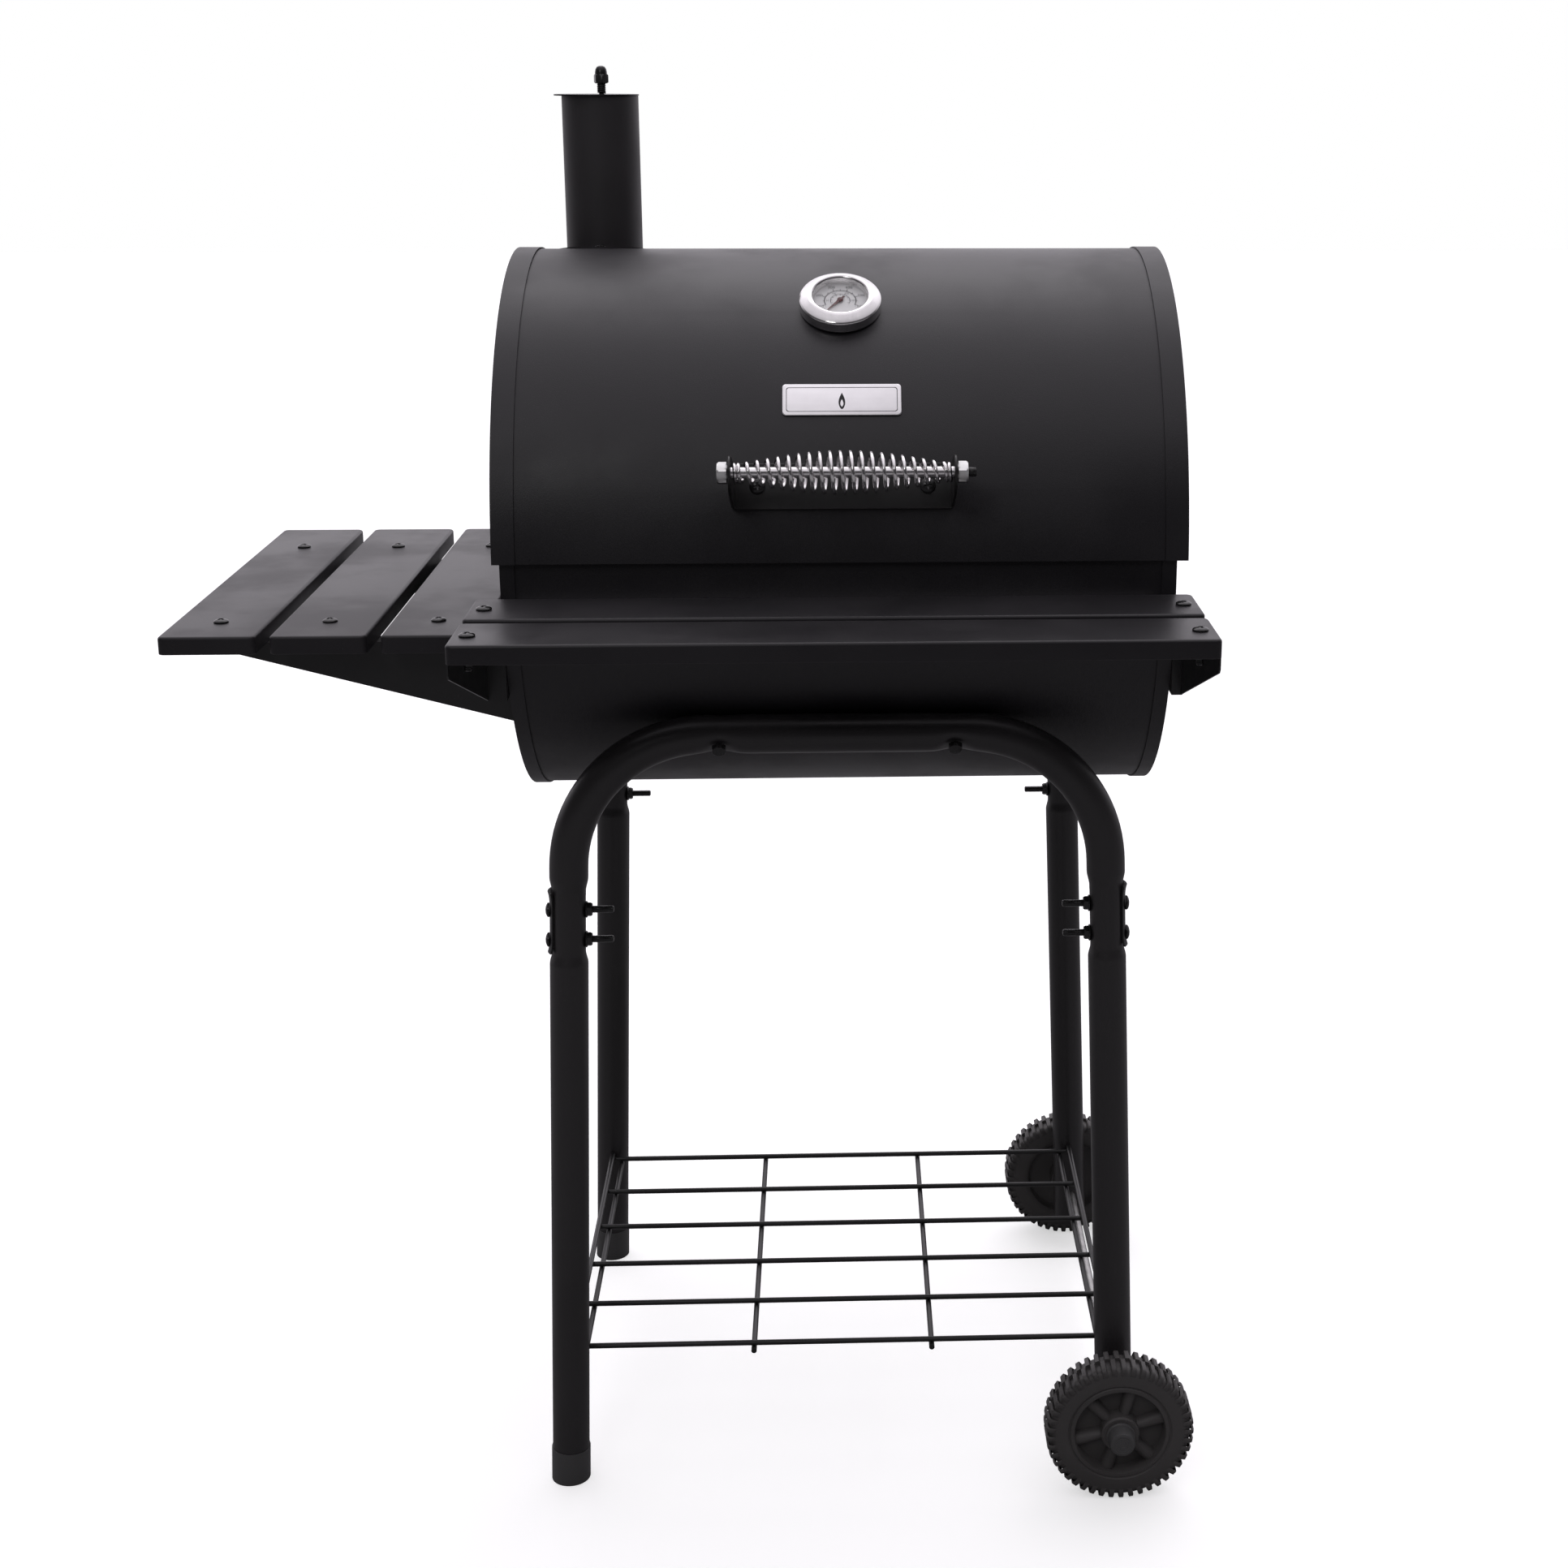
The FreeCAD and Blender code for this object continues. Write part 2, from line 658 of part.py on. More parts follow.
def make_lid():
    half = f"(lid_half_length - sheet - {END_PLAY})"
    skin = above_lid_edge(lid_ring(f"barrel_x - {half}", f"2 * {half}", "lid_radius", "lid_radius - sheet"))
    gauge_y, gauge_z = on_lid("gauge_tilt", "0")
    drills = [
        bar("chimney_x", "chimney_y", "axis_z + chimney_blank_rise", "chimney_radius - 2", "flange_blank"),
        hole("gauge_x", gauge_y, gauge_z, polar_turn(SIZES["gauge_tilt"]), DRILL, "gauge_stem_hole"),
    ]
    drills.extend(hole(x, y, z, turn, DRILL) for x, y, z, turn in handle_bolt_places())
    drills.extend(hole(x, y, z, turn, DRILL, "small_bolt_hole") for x, y, z, turn in chimney_bolt_places())
    node("lid_shell", cut(skin, *drills))
    outer = f"lid_radius + {END_PLAY} + sheet"
    for side, name in ((LEFT, "left"), (RIGHT, "right")):
        left_x, right_x = "barrel_x - lid_half_length", "barrel_x + lid_half_length"
        skirt_x = left_x if side == LEFT else f"{right_x} - lid_cap_skirt"
        face_x = left_x if side == LEFT else f"{right_x} - sheet"
        skirt = lid_ring(skirt_x, "lid_cap_skirt", outer, f"lid_radius + {END_PLAY}")
        disc = bar(face_x, "0", "axis_z", outer, "sheet", ALONG_X)
        node(f"lid_end_cap_{name}", above_lid_edge(fuse(skirt, disc)))


# ---------------------------------------------------------------- hinges


def make_hinges():
    """Each hinge: a bracket with two ears on the tub, a leaf with one knuckle on the lid, and a pin."""
    ears, leaves, pins = [], [], []
    ear_start = "(knuckle_length / 2 + ear_gap)"
    ear_end = f"({ear_start} + ear_thickness)"
    tub_skin, lid_skin = "tub_radius + 0.1", "lid_radius + 0.1"
    foot_drop, foot_height, leaf_rise = 70, 58, 3
    for side in (LEFT, RIGHT):
        middle = f"(barrel_x + {side} * hinge_x)"
        foot = common(
            lid_ring(f"{middle} - {ear_end}", f"2 * {ear_end}", f"{tub_skin} + plate", tub_skin),
            block(f"{middle} - lid_leaf_width", "0", f"hinge_z - {foot_drop}", "2 * lid_leaf_width",
                  "tub_radius + 20", foot_height),
        )
        outline = [
            ("tub_radius + 0.3", "hinge_z - 40"),
            ("tub_radius + 0.3", "hinge_z - 9"),
            ("hinge_y - 6", "hinge_z + 1.5"),
            ("hinge_y", "hinge_z + 6.5"),
            ("hinge_y + 6.5", "hinge_z"),
            ("hinge_y + 2", "hinge_z - 12"),
            ("tub_radius + 2.5", "hinge_z - 52"),
        ]
        plates = [side_outline(outline, f"{middle} - {ear_end}", "ear_thickness"),
                  side_outline(outline, f"{middle} + {ear_start}", "ear_thickness")]
        pin_hole = hole(middle, "hinge_y", "hinge_z", ALONG_X, LONG_DRILL, "hinge_pin_hole")
        ears.append(cut(fuse(foot, *plates), pin_hole))
        leaf = common(
            lid_ring(f"{middle} - lid_leaf_width / 2", "lid_leaf_width", f"{lid_skin} + plate", lid_skin),
            block(f"{middle} - lid_leaf_width", "0", f"hinge_z + {leaf_rise}", "2 * lid_leaf_width",
                  "lid_radius + 20", "lid_leaf_top"),
        )
        web = block(f"{middle} - knuckle_length / 2", f"{lid_skin} + 0.5", f"hinge_z + {leaf_rise}",
                    "knuckle_length", "hinge_y - lid_radius", "leaf_thickness")
        knuckle = bar(f"{middle} - knuckle_length / 2", "hinge_y", "hinge_z", "knuckle_radius",
                      "knuckle_length", ALONG_X)
        leaves.append(cut(fuse(leaf, web, knuckle), pin_hole))
        pin_end = f"({ear_end} + pin_spare)"
        pin = bar(f"{middle} - {pin_end}", "hinge_y", "hinge_z", "hinge_pin_radius", f"2 * {pin_end}",
                  ALONG_X)
        head = bar(f"{middle} - {pin_end} - pin_head", "hinge_y", "hinge_z", "knuckle_radius", "pin_head",
                   ALONG_X)
        pins.append(fuse(pin, head))
    node("hinge_brackets", group(*ears))
    node("hinge_leaves", group(*leaves))
    node("hinge_pins", group(*pins))


# ---------------------------------------------------------------- chimney


def make_chimney():
    """A pipe whose foot is cut to the lid's curve, with a screw tab under its rim."""
    base_z = "axis_z + chimney_blank_rise"
    length = f"chimney_top_z - ({base_z})"
    curve = bar("chimney_x - flange_blank", "0", "axis_z", f"lid_radius + {END_PLAY}", "2 * flange_blank",
                ALONG_X)
    pipe = cut(
        bar("chimney_x", "chimney_y", base_z, "chimney_radius", length),
        bar("chimney_x", "chimney_y", f"{base_z} - 1", "chimney_radius - sheet", f"{length} + {PAST}"),
        curve,
    )
    tab_plate = block("damper_screw_x - tab_half_width", "damper_screw_y - tab_reach", "chimney_top_z - 4",
                      "2 * tab_half_width", "tab_reach + tab_depth", "sheet")
    tab = common(tab_plate, bar("chimney_x", "chimney_y", "chimney_top_z - 6", "chimney_radius - 0.6", "5"))
    screw_hole = hole("damper_screw_x", "damper_screw_y", "chimney_top_z - 4", UPRIGHT, "4",
                      "damper_screw_hole")
    node("chimney_pipe", cut(fuse(pipe, tab), screw_hole))
    ring = cut(
        bar("chimney_x", "chimney_y", base_z, "flange_radius", "flange_blank"),
        bar("chimney_x", "chimney_y", f"{base_z} - 1", "chimney_radius + 0.1", f"flange_blank + {PAST}"),
    )
    cap_edge = "barrel_x - lid_half_length + lid_cap_skirt + 0.2"
    saddle = common(ring, lid_ring(cap_edge, "flange_blank", f"lid_radius + {END_PLAY} + plate",
                                   f"lid_radius + {END_PLAY}"))
    drills, bolts = [], []
    for x, y, z, turn in chimney_bolt_places():
        drills.append(hole(x, y, z, turn, DRILL, "small_bolt_hole"))
        bolts.extend(bolt(x, y, z, turn, "chimney_bolt_reach", "5", small=True))
    for x, y, z, turn in handle_bolt_places():
        bolts.extend(bolt(x, y, z, turn, "handle_bolt_reach", "5"))
    node("chimney_flange", cut(saddle, *drills))
    node("lid_bolts", group(*bolts))
    plate_z = "chimney_top_z + 0.2"
    disc = bar("damper_x", "damper_y", plate_z, "damper_radius", "sheet")
    node("chimney_damper", cut(disc, hole("damper_screw_x", "damper_screw_y", plate_z, UPRIGHT, "6",
                                          "damper_screw_hole")))
    head = dome("damper_screw_x", "damper_screw_y", "chimney_top_z - 4.2", "small_head_radius",
                "small_head_height", FreeCAD.Rotation(FreeCAD.Vector(1, 0, 0), 180))
    nut_z = "grill_top_z - acorn_height - acorn_radius * 0.85"
    shank = bar("damper_screw_x", "damper_screw_y", "chimney_top_z - 4.4", "damper_screw_radius",
                f"{nut_z} - chimney_top_z + 6")
    nut = hexagon("damper_screw_x", "damper_screw_y", nut_z, "acorn_radius", "acorn_height")
    crown = dome("damper_screw_x", "damper_screw_y", f"{nut_z} + acorn_height", "acorn_radius * 0.85",
                 "acorn_radius * 0.85")
    node("damper_screw", fuse(head, shank, nut, crown))


def coil_shape(centres, wire_radius):
    """A round wire along a smooth curve through the centres."""
    curve = Part.BSplineCurve()
    curve.interpolate(centres)
    path = Part.Wire([curve.toShape()])
    tangent = curve.tangent(curve.FirstParameter)[0]
    section = Part.Wire([Part.Circle(centres[0], tangent, wire_radius).toShape()])
    return path.makePipeShell([section], True, True)


def make_springs():
    """The damper's spring and the handle's barrel-shaped coil, each a helix with its own radius."""
    steps = 16
    count = int(SIZES["spring_turns"] * steps)
    wire = SIZES["spring_wire_radius"]
    centres = []
    for i in range(count + 1):
        part = i / count
        angle = 2 * math.pi * SIZES["spring_turns"] * part
        centres.append(FreeCAD.Vector(
            SIZES["damper_screw_x"] + SIZES["spring_coil_radius"] * math.cos(angle),
            SIZES["damper_screw_y"] + SIZES["spring_coil_radius"] * math.sin(angle),
            SIZES["spring_bottom_z"] + wire + (SIZES["spring_length"] - 2 * wire) * part,
        ))
    feature("damper_spring", coil_shape(centres, wire))
    count = int(SIZES["coil_turns"] * steps)
    wire = SIZES["coil_wire_radius"]
    half = SIZES["handle_half_width"] - SIZES["plate"] - SIZES["gap"] - wire
    centres = []
    for i in range(count + 1):
        part = i / count
        angle = 2 * math.pi * SIZES["coil_turns"] * part
        swell = math.sin(math.pi * part) ** 1.15
        radius = SIZES["coil_end_radius"] + (SIZES["coil_middle_radius"] - SIZES["coil_end_radius"]) * swell
        centres.append(FreeCAD.Vector(
            SIZES["handle_x"] - half + 2 * half * part,
            SIZES["rod_y"] + radius * math.cos(angle),
            SIZES["rod_z"] + radius * math.sin(angle),
        ))
    feature("handle_coil", coil_shape(centres, wire))


# ---------------------------------------------------------------- lid fittings


POINTER_REST = 225  # degrees from the dial's right hand side, anticlockwise


def make_thermometer():
    """A flat drum on the lid: steel case and bezel, dial, pointer, glass, and a stem with its nut."""
    turn = polar_turn(SIZES["gauge_tilt"])

    def at(height):
        return ("gauge_x", *on_lid("gauge_tilt", height))

    skirt = bar(*at("gap"), "gauge_radius", "gauge_skirt", turn)
    bevel = taper(*at("gap + gauge_skirt"), "gauge_radius", "gauge_face_radius", "gauge_bevel", turn)
    well = bar(*at("gap + 2"), "gauge_glass_radius", "20", turn)
    stem = bar(*at("gap + 2 - gauge_stem_length"), "gauge_stem_radius", "gauge_stem_length", turn)
    node("thermometer_case", cut(fuse(cut(fuse(skirt, bevel), well), stem),
                                 bar(*at("gap - 1"), "pointer_pin_radius + 0.06", "6", turn)))
    nut_hole = bar(*at("-sheet - gap - 7"), "gauge_stem_radius + 0.05", "9", turn)
    node("thermometer_nut", cut(hexagon(*at("-sheet - gap - 5"), "gauge_nut_radius", "5", turn), nut_hole))
    dial_hole = bar(*at("gap + 1"), "pointer_pin_radius + 0.06", "10", turn)
    dial = bar(*at("gap + 2.1"), "gauge_glass_radius - 0.1", "gauge_dial_height - 2.1", turn)
    node("thermometer_dial", cut(dial, dial_hole))
    node("thermometer_lens", bar(*at("gap + gauge_lens_height"), "gauge_glass_radius - 0.1",
                                 "gauge_lens_thickness", turn))
    # The pointer lies in its own plane just above the dial, and points down to the left when cold.
    spin = turn.multiply(FreeCAD.Rotation(FreeCAD.Vector(0, 0, 1), POINTER_REST))
    pin = bar(*at("gap + 2.2"), "pointer_pin_radius", "gauge_dial_height", turn)
    boss = bar(*at("gap + gauge_dial_height + 0.4"), "2.6", "1.6", turn)
    blade = doc.addObject("Part::Wedge", "blade")
    bind(blade, Xmin="-pointer_tail", Xmax="pointer_length", X2min="-pointer_tail", X2max="pointer_length",
         Ymin="-pointer_width / 2", Ymax="pointer_width / 2", Zmin="0", Zmax="0.6", Z2min="0", Z2max="0.6")
    place(blade, *at("gap + gauge_dial_height + 0.8"), spin)
    node("thermometer_pointer", fuse(pin, boss, blade))


def make_badge():
    """A plain rounded plate with nothing written on it."""
    body = doc.addObject("PartDesign::Body", "badge")
    sketch = body.newObject("Sketcher::SketchObject", "badge_outline")
    plane = [item for item in body.Origin.OriginFeatures if item.Role == "XY_Plane"][0]
    sketch.AttachmentSupport = [(plane, "")]
    sketch.MapMode = "FlatFace"
    wide, tall = "badge_width / 2", "badge_height / 2"
    sketch_lines(sketch, [(f"-{wide}", f"-{tall}"), (wide, f"-{tall}"), (wide, tall), (f"-{wide}", tall)])
    pad = body.newObject("PartDesign::Pad", "badge_pad")
    pad.Profile = sketch
    bind(pad, Length="sheet")
    doc.recompute()
    corners = body.newObject("PartDesign::Fillet", "badge_corners")
    upright = [f"Edge{i}" for i, edge in enumerate(pad.Shape.Edges, start=1)
               if edge.BoundBox.ZLength > SIZES["sheet"] / 2]
    corners.Base = (pad, upright)
    bind(corners, Radius="badge_corner")
    holder = group(body)
    y, z = on_lid("badge_tilt", "0.6")
    place(body, "badge_x", y, z, polar_turn(SIZES["badge_tilt"]))
    node("nameplate", holder)


def make_handle():
    """A bent bracket on the lid with two ears, which hold a rod with a hexagon head and nut."""
    tilt = polar_turn(SIZES["handle_tilt"])
    back_y, back_z = on_lid("handle_tilt", "gap")
    back = doc.addObject("Part::Box", "bracket_back")
    bind(back, Length="2 * handle_half_width", Width="handle_plate_height", Height="plate")
    low_y = f"{back_y} - handle_plate_height / 2 * cos(handle_tilt)"
    low_z = f"{back_z} - handle_plate_height / 2 * sin(handle_tilt)"
    place(back, "handle_x - handle_half_width", low_y, low_z, tilt)
    ear = [
        (f"{low_y}", f"{low_z}"),
        ("rod_y - 7", "rod_z - 15"),
        ("rod_y - 13", "rod_z - 4"),
        ("rod_y - 12", "rod_z + 9"),
        ("rod_y - 2", "rod_z + 14"),
        (f"{back_y} + handle_plate_height / 2 * cos(handle_tilt)",
         f"{back_z} + handle_plate_height / 2 * sin(handle_tilt)"),
    ]
    ears = [side_outline(ear, "handle_x - handle_half_width", "plate"),
            side_outline(ear, "handle_x + handle_half_width - plate", "plate")]
    drills = [hole(x, y, z, turn, "6") for x, y, z, turn in handle_bolt_places()]
    rod_drill = hole("handle_x", "rod_y", "rod_z", ALONG_X, "handle_half_width + 10", "rod_hole")
    lid_side = bar("handle_x - handle_half_width - 5", "0", "axis_z", f"lid_radius + gap / 2",
                   "2 * handle_half_width + 10", ALONG_X)
    node("handle_bracket", cut(fuse(back, *ears), *drills, rod_drill, lid_side))
    end = "(handle_half_width + 0.2)"
    rod = bar(f"handle_x - {end} - 1", "rod_y", "rod_z", "rod_radius",
              f"2 * {end} + 1 + rod_nut_length + rod_tip", ALONG_X)
    head = hexagon(f"handle_x - {end} - rod_nut_length", "rod_y", "rod_z", "rod_nut_radius", "rod_nut_length",
                   ALONG_X)
    node("handle_rod", fuse(rod, head))
    nut = hexagon(f"handle_x + {end}", "rod_y", "rod_z", "rod_nut_radius", "rod_nut_length", ALONG_X)
    bore = hole(f"handle_x + {end}", "rod_y", "rod_z", ALONG_X, "20", "rod_radius + 0.05")
    node("handle_nut", cut(nut, bore))


# ---------------------------------------------------------------- legs


def leg_axis_x(side, z):
    """Where a leg's middle line is at height z."""
    return f"{side} * (leg_x + splay_slope * (leg_x_height - ({z})))"


def down_leg(side):
    """The way down a leg, which leans outwards by the splay."""
    lean = math.radians(SIZES["leg_splay"])
    down = FreeCAD.Vector(side * math.sin(lean), 0, -math.cos(lean))
    return FreeCAD.Rotation(FreeCAD.Vector(0, 0, 1), down)


def leg_run(side, y, top_z, low_z, radius, end_radius=None):
    """A straight or tapering stretch of leg between two heights."""
    x = leg_axis_x(side, top_z)
    length = f"(({top_z}) - ({low_z})) / cos(leg_splay)"
    if end_radius is None:
        return bar(x, y, top_z, radius, length, down_leg(side))
    return taper(x, y, top_z, radius, end_radius, length, down_leg(side))


def bent_tube(side, y, radius, neck, past):
    """Rail, bend, straight, taper and neck of an upper leg tube as one solid of the given radius."""
    rail_end = "bend_x" if side == RIGHT else "-bend_x"
    first, last = ("seam_x", rail_end) if side == RIGHT else (rail_end, "seam_x")
    rail = bar(f"{first} - {past if side == RIGHT else 0}", y, "rail_z", radius,
               f"{last} - ({first}) + {past}", ALONG_X)
    ring = doc.addObject("Part::Torus", "bend")
    bind(ring, Radius1="bend_radius", Radius2=radius, Angle3="bend_angle")
    start = SIZES["leg_splay"] if side == RIGHT else 90
    turn = SEEN_FROM_FRONT.multiply(FreeCAD.Rotation(FreeCAD.Vector(0, 0, 1), start))
    place(ring, rail_end, y, "rail_z - bend_radius", turn)
    straight = leg_run(side, y, "bend_end_z + 0.01", "neck_top_z", radius)
    narrowing = leg_run(side, y, "neck_top_z", "neck_top_z - neck_taper", radius, neck)
    spigot = leg_run(side, y, "neck_top_z - neck_taper", f"neck_bottom_z - {past}", neck)
    return fuse(rail, ring, straight, narrowing, spigot)


def joint_holes(side, y):
    for z in ("joint_bolt_top_z", "joint_bolt_low_z"):
        yield hole(leg_axis_x(side, z), y, z, ALONG_X, LONG_DRILL)


def joining_spigot(y):
    """A short tube welded in the right hand rail's end, which the left hand rail slides over."""
    inside = "tube_radius - 2 * tube_wall - 0.1"
    spigot = bar("seam_x - spigot_length", y, "rail_z", "tube_radius - tube_wall - 0.1",
                 "spigot_length + spigot_root", ALONG_X)
    bore = bar("seam_x - spigot_length - 1", y, "rail_z", inside, "spigot_length + spigot_root + 2", ALONG_X)
    weld = bar("seam_x + 2", y, "rail_z", "tube_radius - 0.4", "spigot_root - 2", ALONG_X)
    weld_bore = bar("seam_x + 1", y, "rail_z", inside, "spigot_root", ALONG_X)
    return cut(spigot, bore), cut(weld, weld_bore)


def make_leg_frames():
    for end, end_name in ((FRONT, "front"), (REAR, "rear")):
        y = f"{end} * leg_y"
        for side, side_name in ((LEFT, "left"), (RIGHT, "right")):
            tube = cut(bent_tube(side, y, "tube_radius", "neck_radius", 0),
                       bent_tube(side, y, "tube_radius - tube_wall", "neck_radius - tube_wall", 1))
            if side == RIGHT:
                tube = fuse(tube, *joining_spigot(y))
            drills = [hole(f"{side} * frame_bolt_x", y, "rail_z", frame_bolt_turn(end), LONG_DRILL)]
            node(f"upper_leg_{end_name}_{side_name}", cut(tube, *drills, *joint_holes(side, y)))
            make_lower_leg(side, side_name, end, end_name)


def make_lower_leg(side, side_name, end, end_name):
    """A straight tube with a narrowed top that the upper tube's neck slides into."""
    y = f"{end} * leg_y"
    bottom = "long_leg_bottom_z" if side == LEFT else "short_leg_bottom_z"
    outside = fuse(
        leg_run(side, y, "sleeve_top_z", "sleeve_bottom_z + neck_taper", "sleeve_radius"),
        leg_run(side, y, "sleeve_bottom_z + neck_taper", "sleeve_bottom_z", "sleeve_radius", "tube_radius"),
        leg_run(side, y, "sleeve_bottom_z", bottom, "tube_radius"),
    )
    inside = fuse(
        leg_run(side, y, "sleeve_top_z + 1", "sleeve_bottom_z + neck_taper", "neck_radius + 0.1"),
        leg_run(side, y, "sleeve_bottom_z + neck_taper", "sleeve_bottom_z", "neck_radius + 0.1",
                "tube_radius - tube_wall"),
        leg_run(side, y, "sleeve_bottom_z", f"{bottom} - 1", "tube_radius - tube_wall"),
    )
    drills = list(joint_holes(side, y))
    drills.append(hole(f"{side} * wire_side_x", y, "wire_z + wire_lap", ALONG_Y, LONG_DRILL,
                       "wire_radius + 0.15"))
    if side == RIGHT:
        drills.append(hole("axle_x", y, "wheel_radius", ALONG_Y, LONG_DRILL, "axle_hole"))
    node(f"lower_leg_{end_name}_{side_name}", cut(outside, inside, *drills))


def make_leg_joints():
    """At each leg: a curved plate on the outer side, and two bolts right through to nuts inside."""
    plates, bolts = [], []
    for end in (FRONT, REAR):
        y = f"{end} * leg_y"
        for side in (LEFT, RIGHT):
            top = "joint_plate_low_z + joint_plate_height"
            ring = cut(leg_run(side, y, top, "joint_plate_low_z", "sleeve_radius + 0.1 + plate"),
                       leg_run(side, y, f"{top} + 2", "joint_plate_low_z - 2", "sleeve_radius + 0.1"))
            outer = leg_axis_x(side, "joint_plate_low_z + joint_plate_height / 2")
            reach = "sleeve_radius + plate"
            start = f"{outer} + {side} * 7" if side == RIGHT else f"{outer} - 7 - ({reach})"
            keep = block(start, f"{y} - 10", "joint_plate_low_z - 5", reach, "20", "joint_plate_height + 10")
            plates.append(cut(common(ring, keep), *joint_holes(side, y)))
            turn = ALONG_X if side == RIGHT else LEFTWARD
            for z in ("joint_bolt_top_z", "joint_bolt_low_z"):
                seat = f"{leg_axis_x(side, z)} + {side} * (sleeve_radius + 0.3 + plate)"
                bolts.extend(bolt(seat, y, z, turn, "2 * sleeve_radius + plate + 0.3 + joint_bolt_reach",
                                  "2 * sleeve_radius + plate + 0.6"))
    node("leg_joint_plates", group(*plates))
    node("leg_joint_bolts", group(*bolts))
    frame_bolts = []
    for _, x, y, z, turn in frame_bolt_places():
        seat = stepped(x, y, z, turn, "tube_radius + 0.2")
        frame_bolts.extend(bolt(*seat, turn, "2 * tube_radius + frame_bolt_spare",
                                "2 * tube_radius + gap + sheet + 1.1"))
    node("leg_frame_bolts", group(*frame_bolts))


def make_feet():
    """Plastic caps on the two legs that have no wheel, flat on the floor."""
    caps = []
    for end in (FRONT, REAR):
        y = f"{end} * leg_y"
        outside = leg_run(LEFT, y, "foot_height", "-5", "foot_radius")
        above_floor = block(f"{leg_axis_x(LEFT, '0')} - 40", f"{y} - 40", "0", "80", "80", "60")
        socket = leg_run(LEFT, y, "foot_height + 2", "long_leg_bottom_z", "tube_radius + 0.05")
        caps.append(cut(common(outside, above_floor), socket))
    node("foot_caps", group(*caps))


# ---------------------------------------------------------------- wheels


def make_wheels():
    axle_at = ("axle_x", "-axle_half_length", "wheel_radius")
    node("axle", bar(*axle_at, "axle_radius", "2 * axle_half_length", ALONG_Y))
    cap_bore = bar(*axle_at, "axle_radius + 0.02", "2 * axle_half_length", ALONG_Y)
    caps = []
    for end, name in ((FRONT, "front"), (REAR, "rear")):
        middle = f"({end} * wheel_y)"
        tread = bar("axle_x", f"{middle} - wheel_tread_width / 2", "wheel_radius", "wheel_radius",
                    "wheel_tread_width", ALONG_Y)
        dish_starts = (f"{middle} + wheel_web / 2", f"{middle} - wheel_web / 2 - wheel_tread_width")
        dish = [bar("axle_x", start, "wheel_radius", "wheel_rim_radius", "wheel_tread_width", ALONG_Y)
                for start in dish_starts]
        hub = bar("axle_x", f"{middle} - hub_length / 2", "wheel_radius", "hub_radius", "hub_length", ALONG_Y)
        spokes = []
        for i in range(int(SIZES["wheel_spokes"])):
            turn = FreeCAD.Rotation(FreeCAD.Vector(0, 1, 0), 30 + 360 * i / SIZES["wheel_spokes"])
            spokes.append(bar("axle_x", f"{middle} + {end} * wheel_web / 2", "wheel_radius",
                              "wheel_spoke_radius", "wheel_rim_radius + 1", turn))
        bore = hole("axle_x", middle, "wheel_radius", ALONG_Y, "hub_length", "wheel_bore")
        node(f"wheel_{name}", cut(fuse(cut(tread, *dish), hub, *spokes), bore))
        outer = f"{end} * (wheel_y + hub_length / 2 + gap)"
        cap = taper("axle_x", outer, "wheel_radius", "axle_cap_radius", "axle_cap_tip_radius",
                    "axle_cap_length", ALONG_Y if end == REAR else TOWARDS_USER)
        caps.append(cut(cap, cap_bore))
    node("axle_caps", group(*caps))


# ---------------------------------------------------------------- wire shelf


def make_wire_shelf():
    """Six wires along the grill, with cross wires under them and a side wire on top at each end."""
    shapes = []
    for i in range(int(SIZES["wire_count"])):
        y = f"-wire_outer_y + {i} * 2 * wire_outer_y / (wire_count - 1)"
        shapes.append(bar("-wire_half_length", y, "wire_z", "wire_radius", "2 * wire_half_length", ALONG_X))
    for side in (LEFT, RIGHT):
        for x, half, height in (
            ("wire_cross_x", "wire_cross_half", "wire_z - wire_lap"),
            ("(wire_brace_x - 1)", "wire_outer_y", "wire_z - wire_lap"),
            ("wire_side_x", "wire_side_half", "wire_z + wire_lap"),
        ):
            shapes.append(bar(f"{side} * {x}", f"-{half}", height, "wire_radius", f"2 * {half}", ALONG_Y))
    node("wire_shelf", fuse(*shapes))


# ---------------------------------------------------------------- shelves


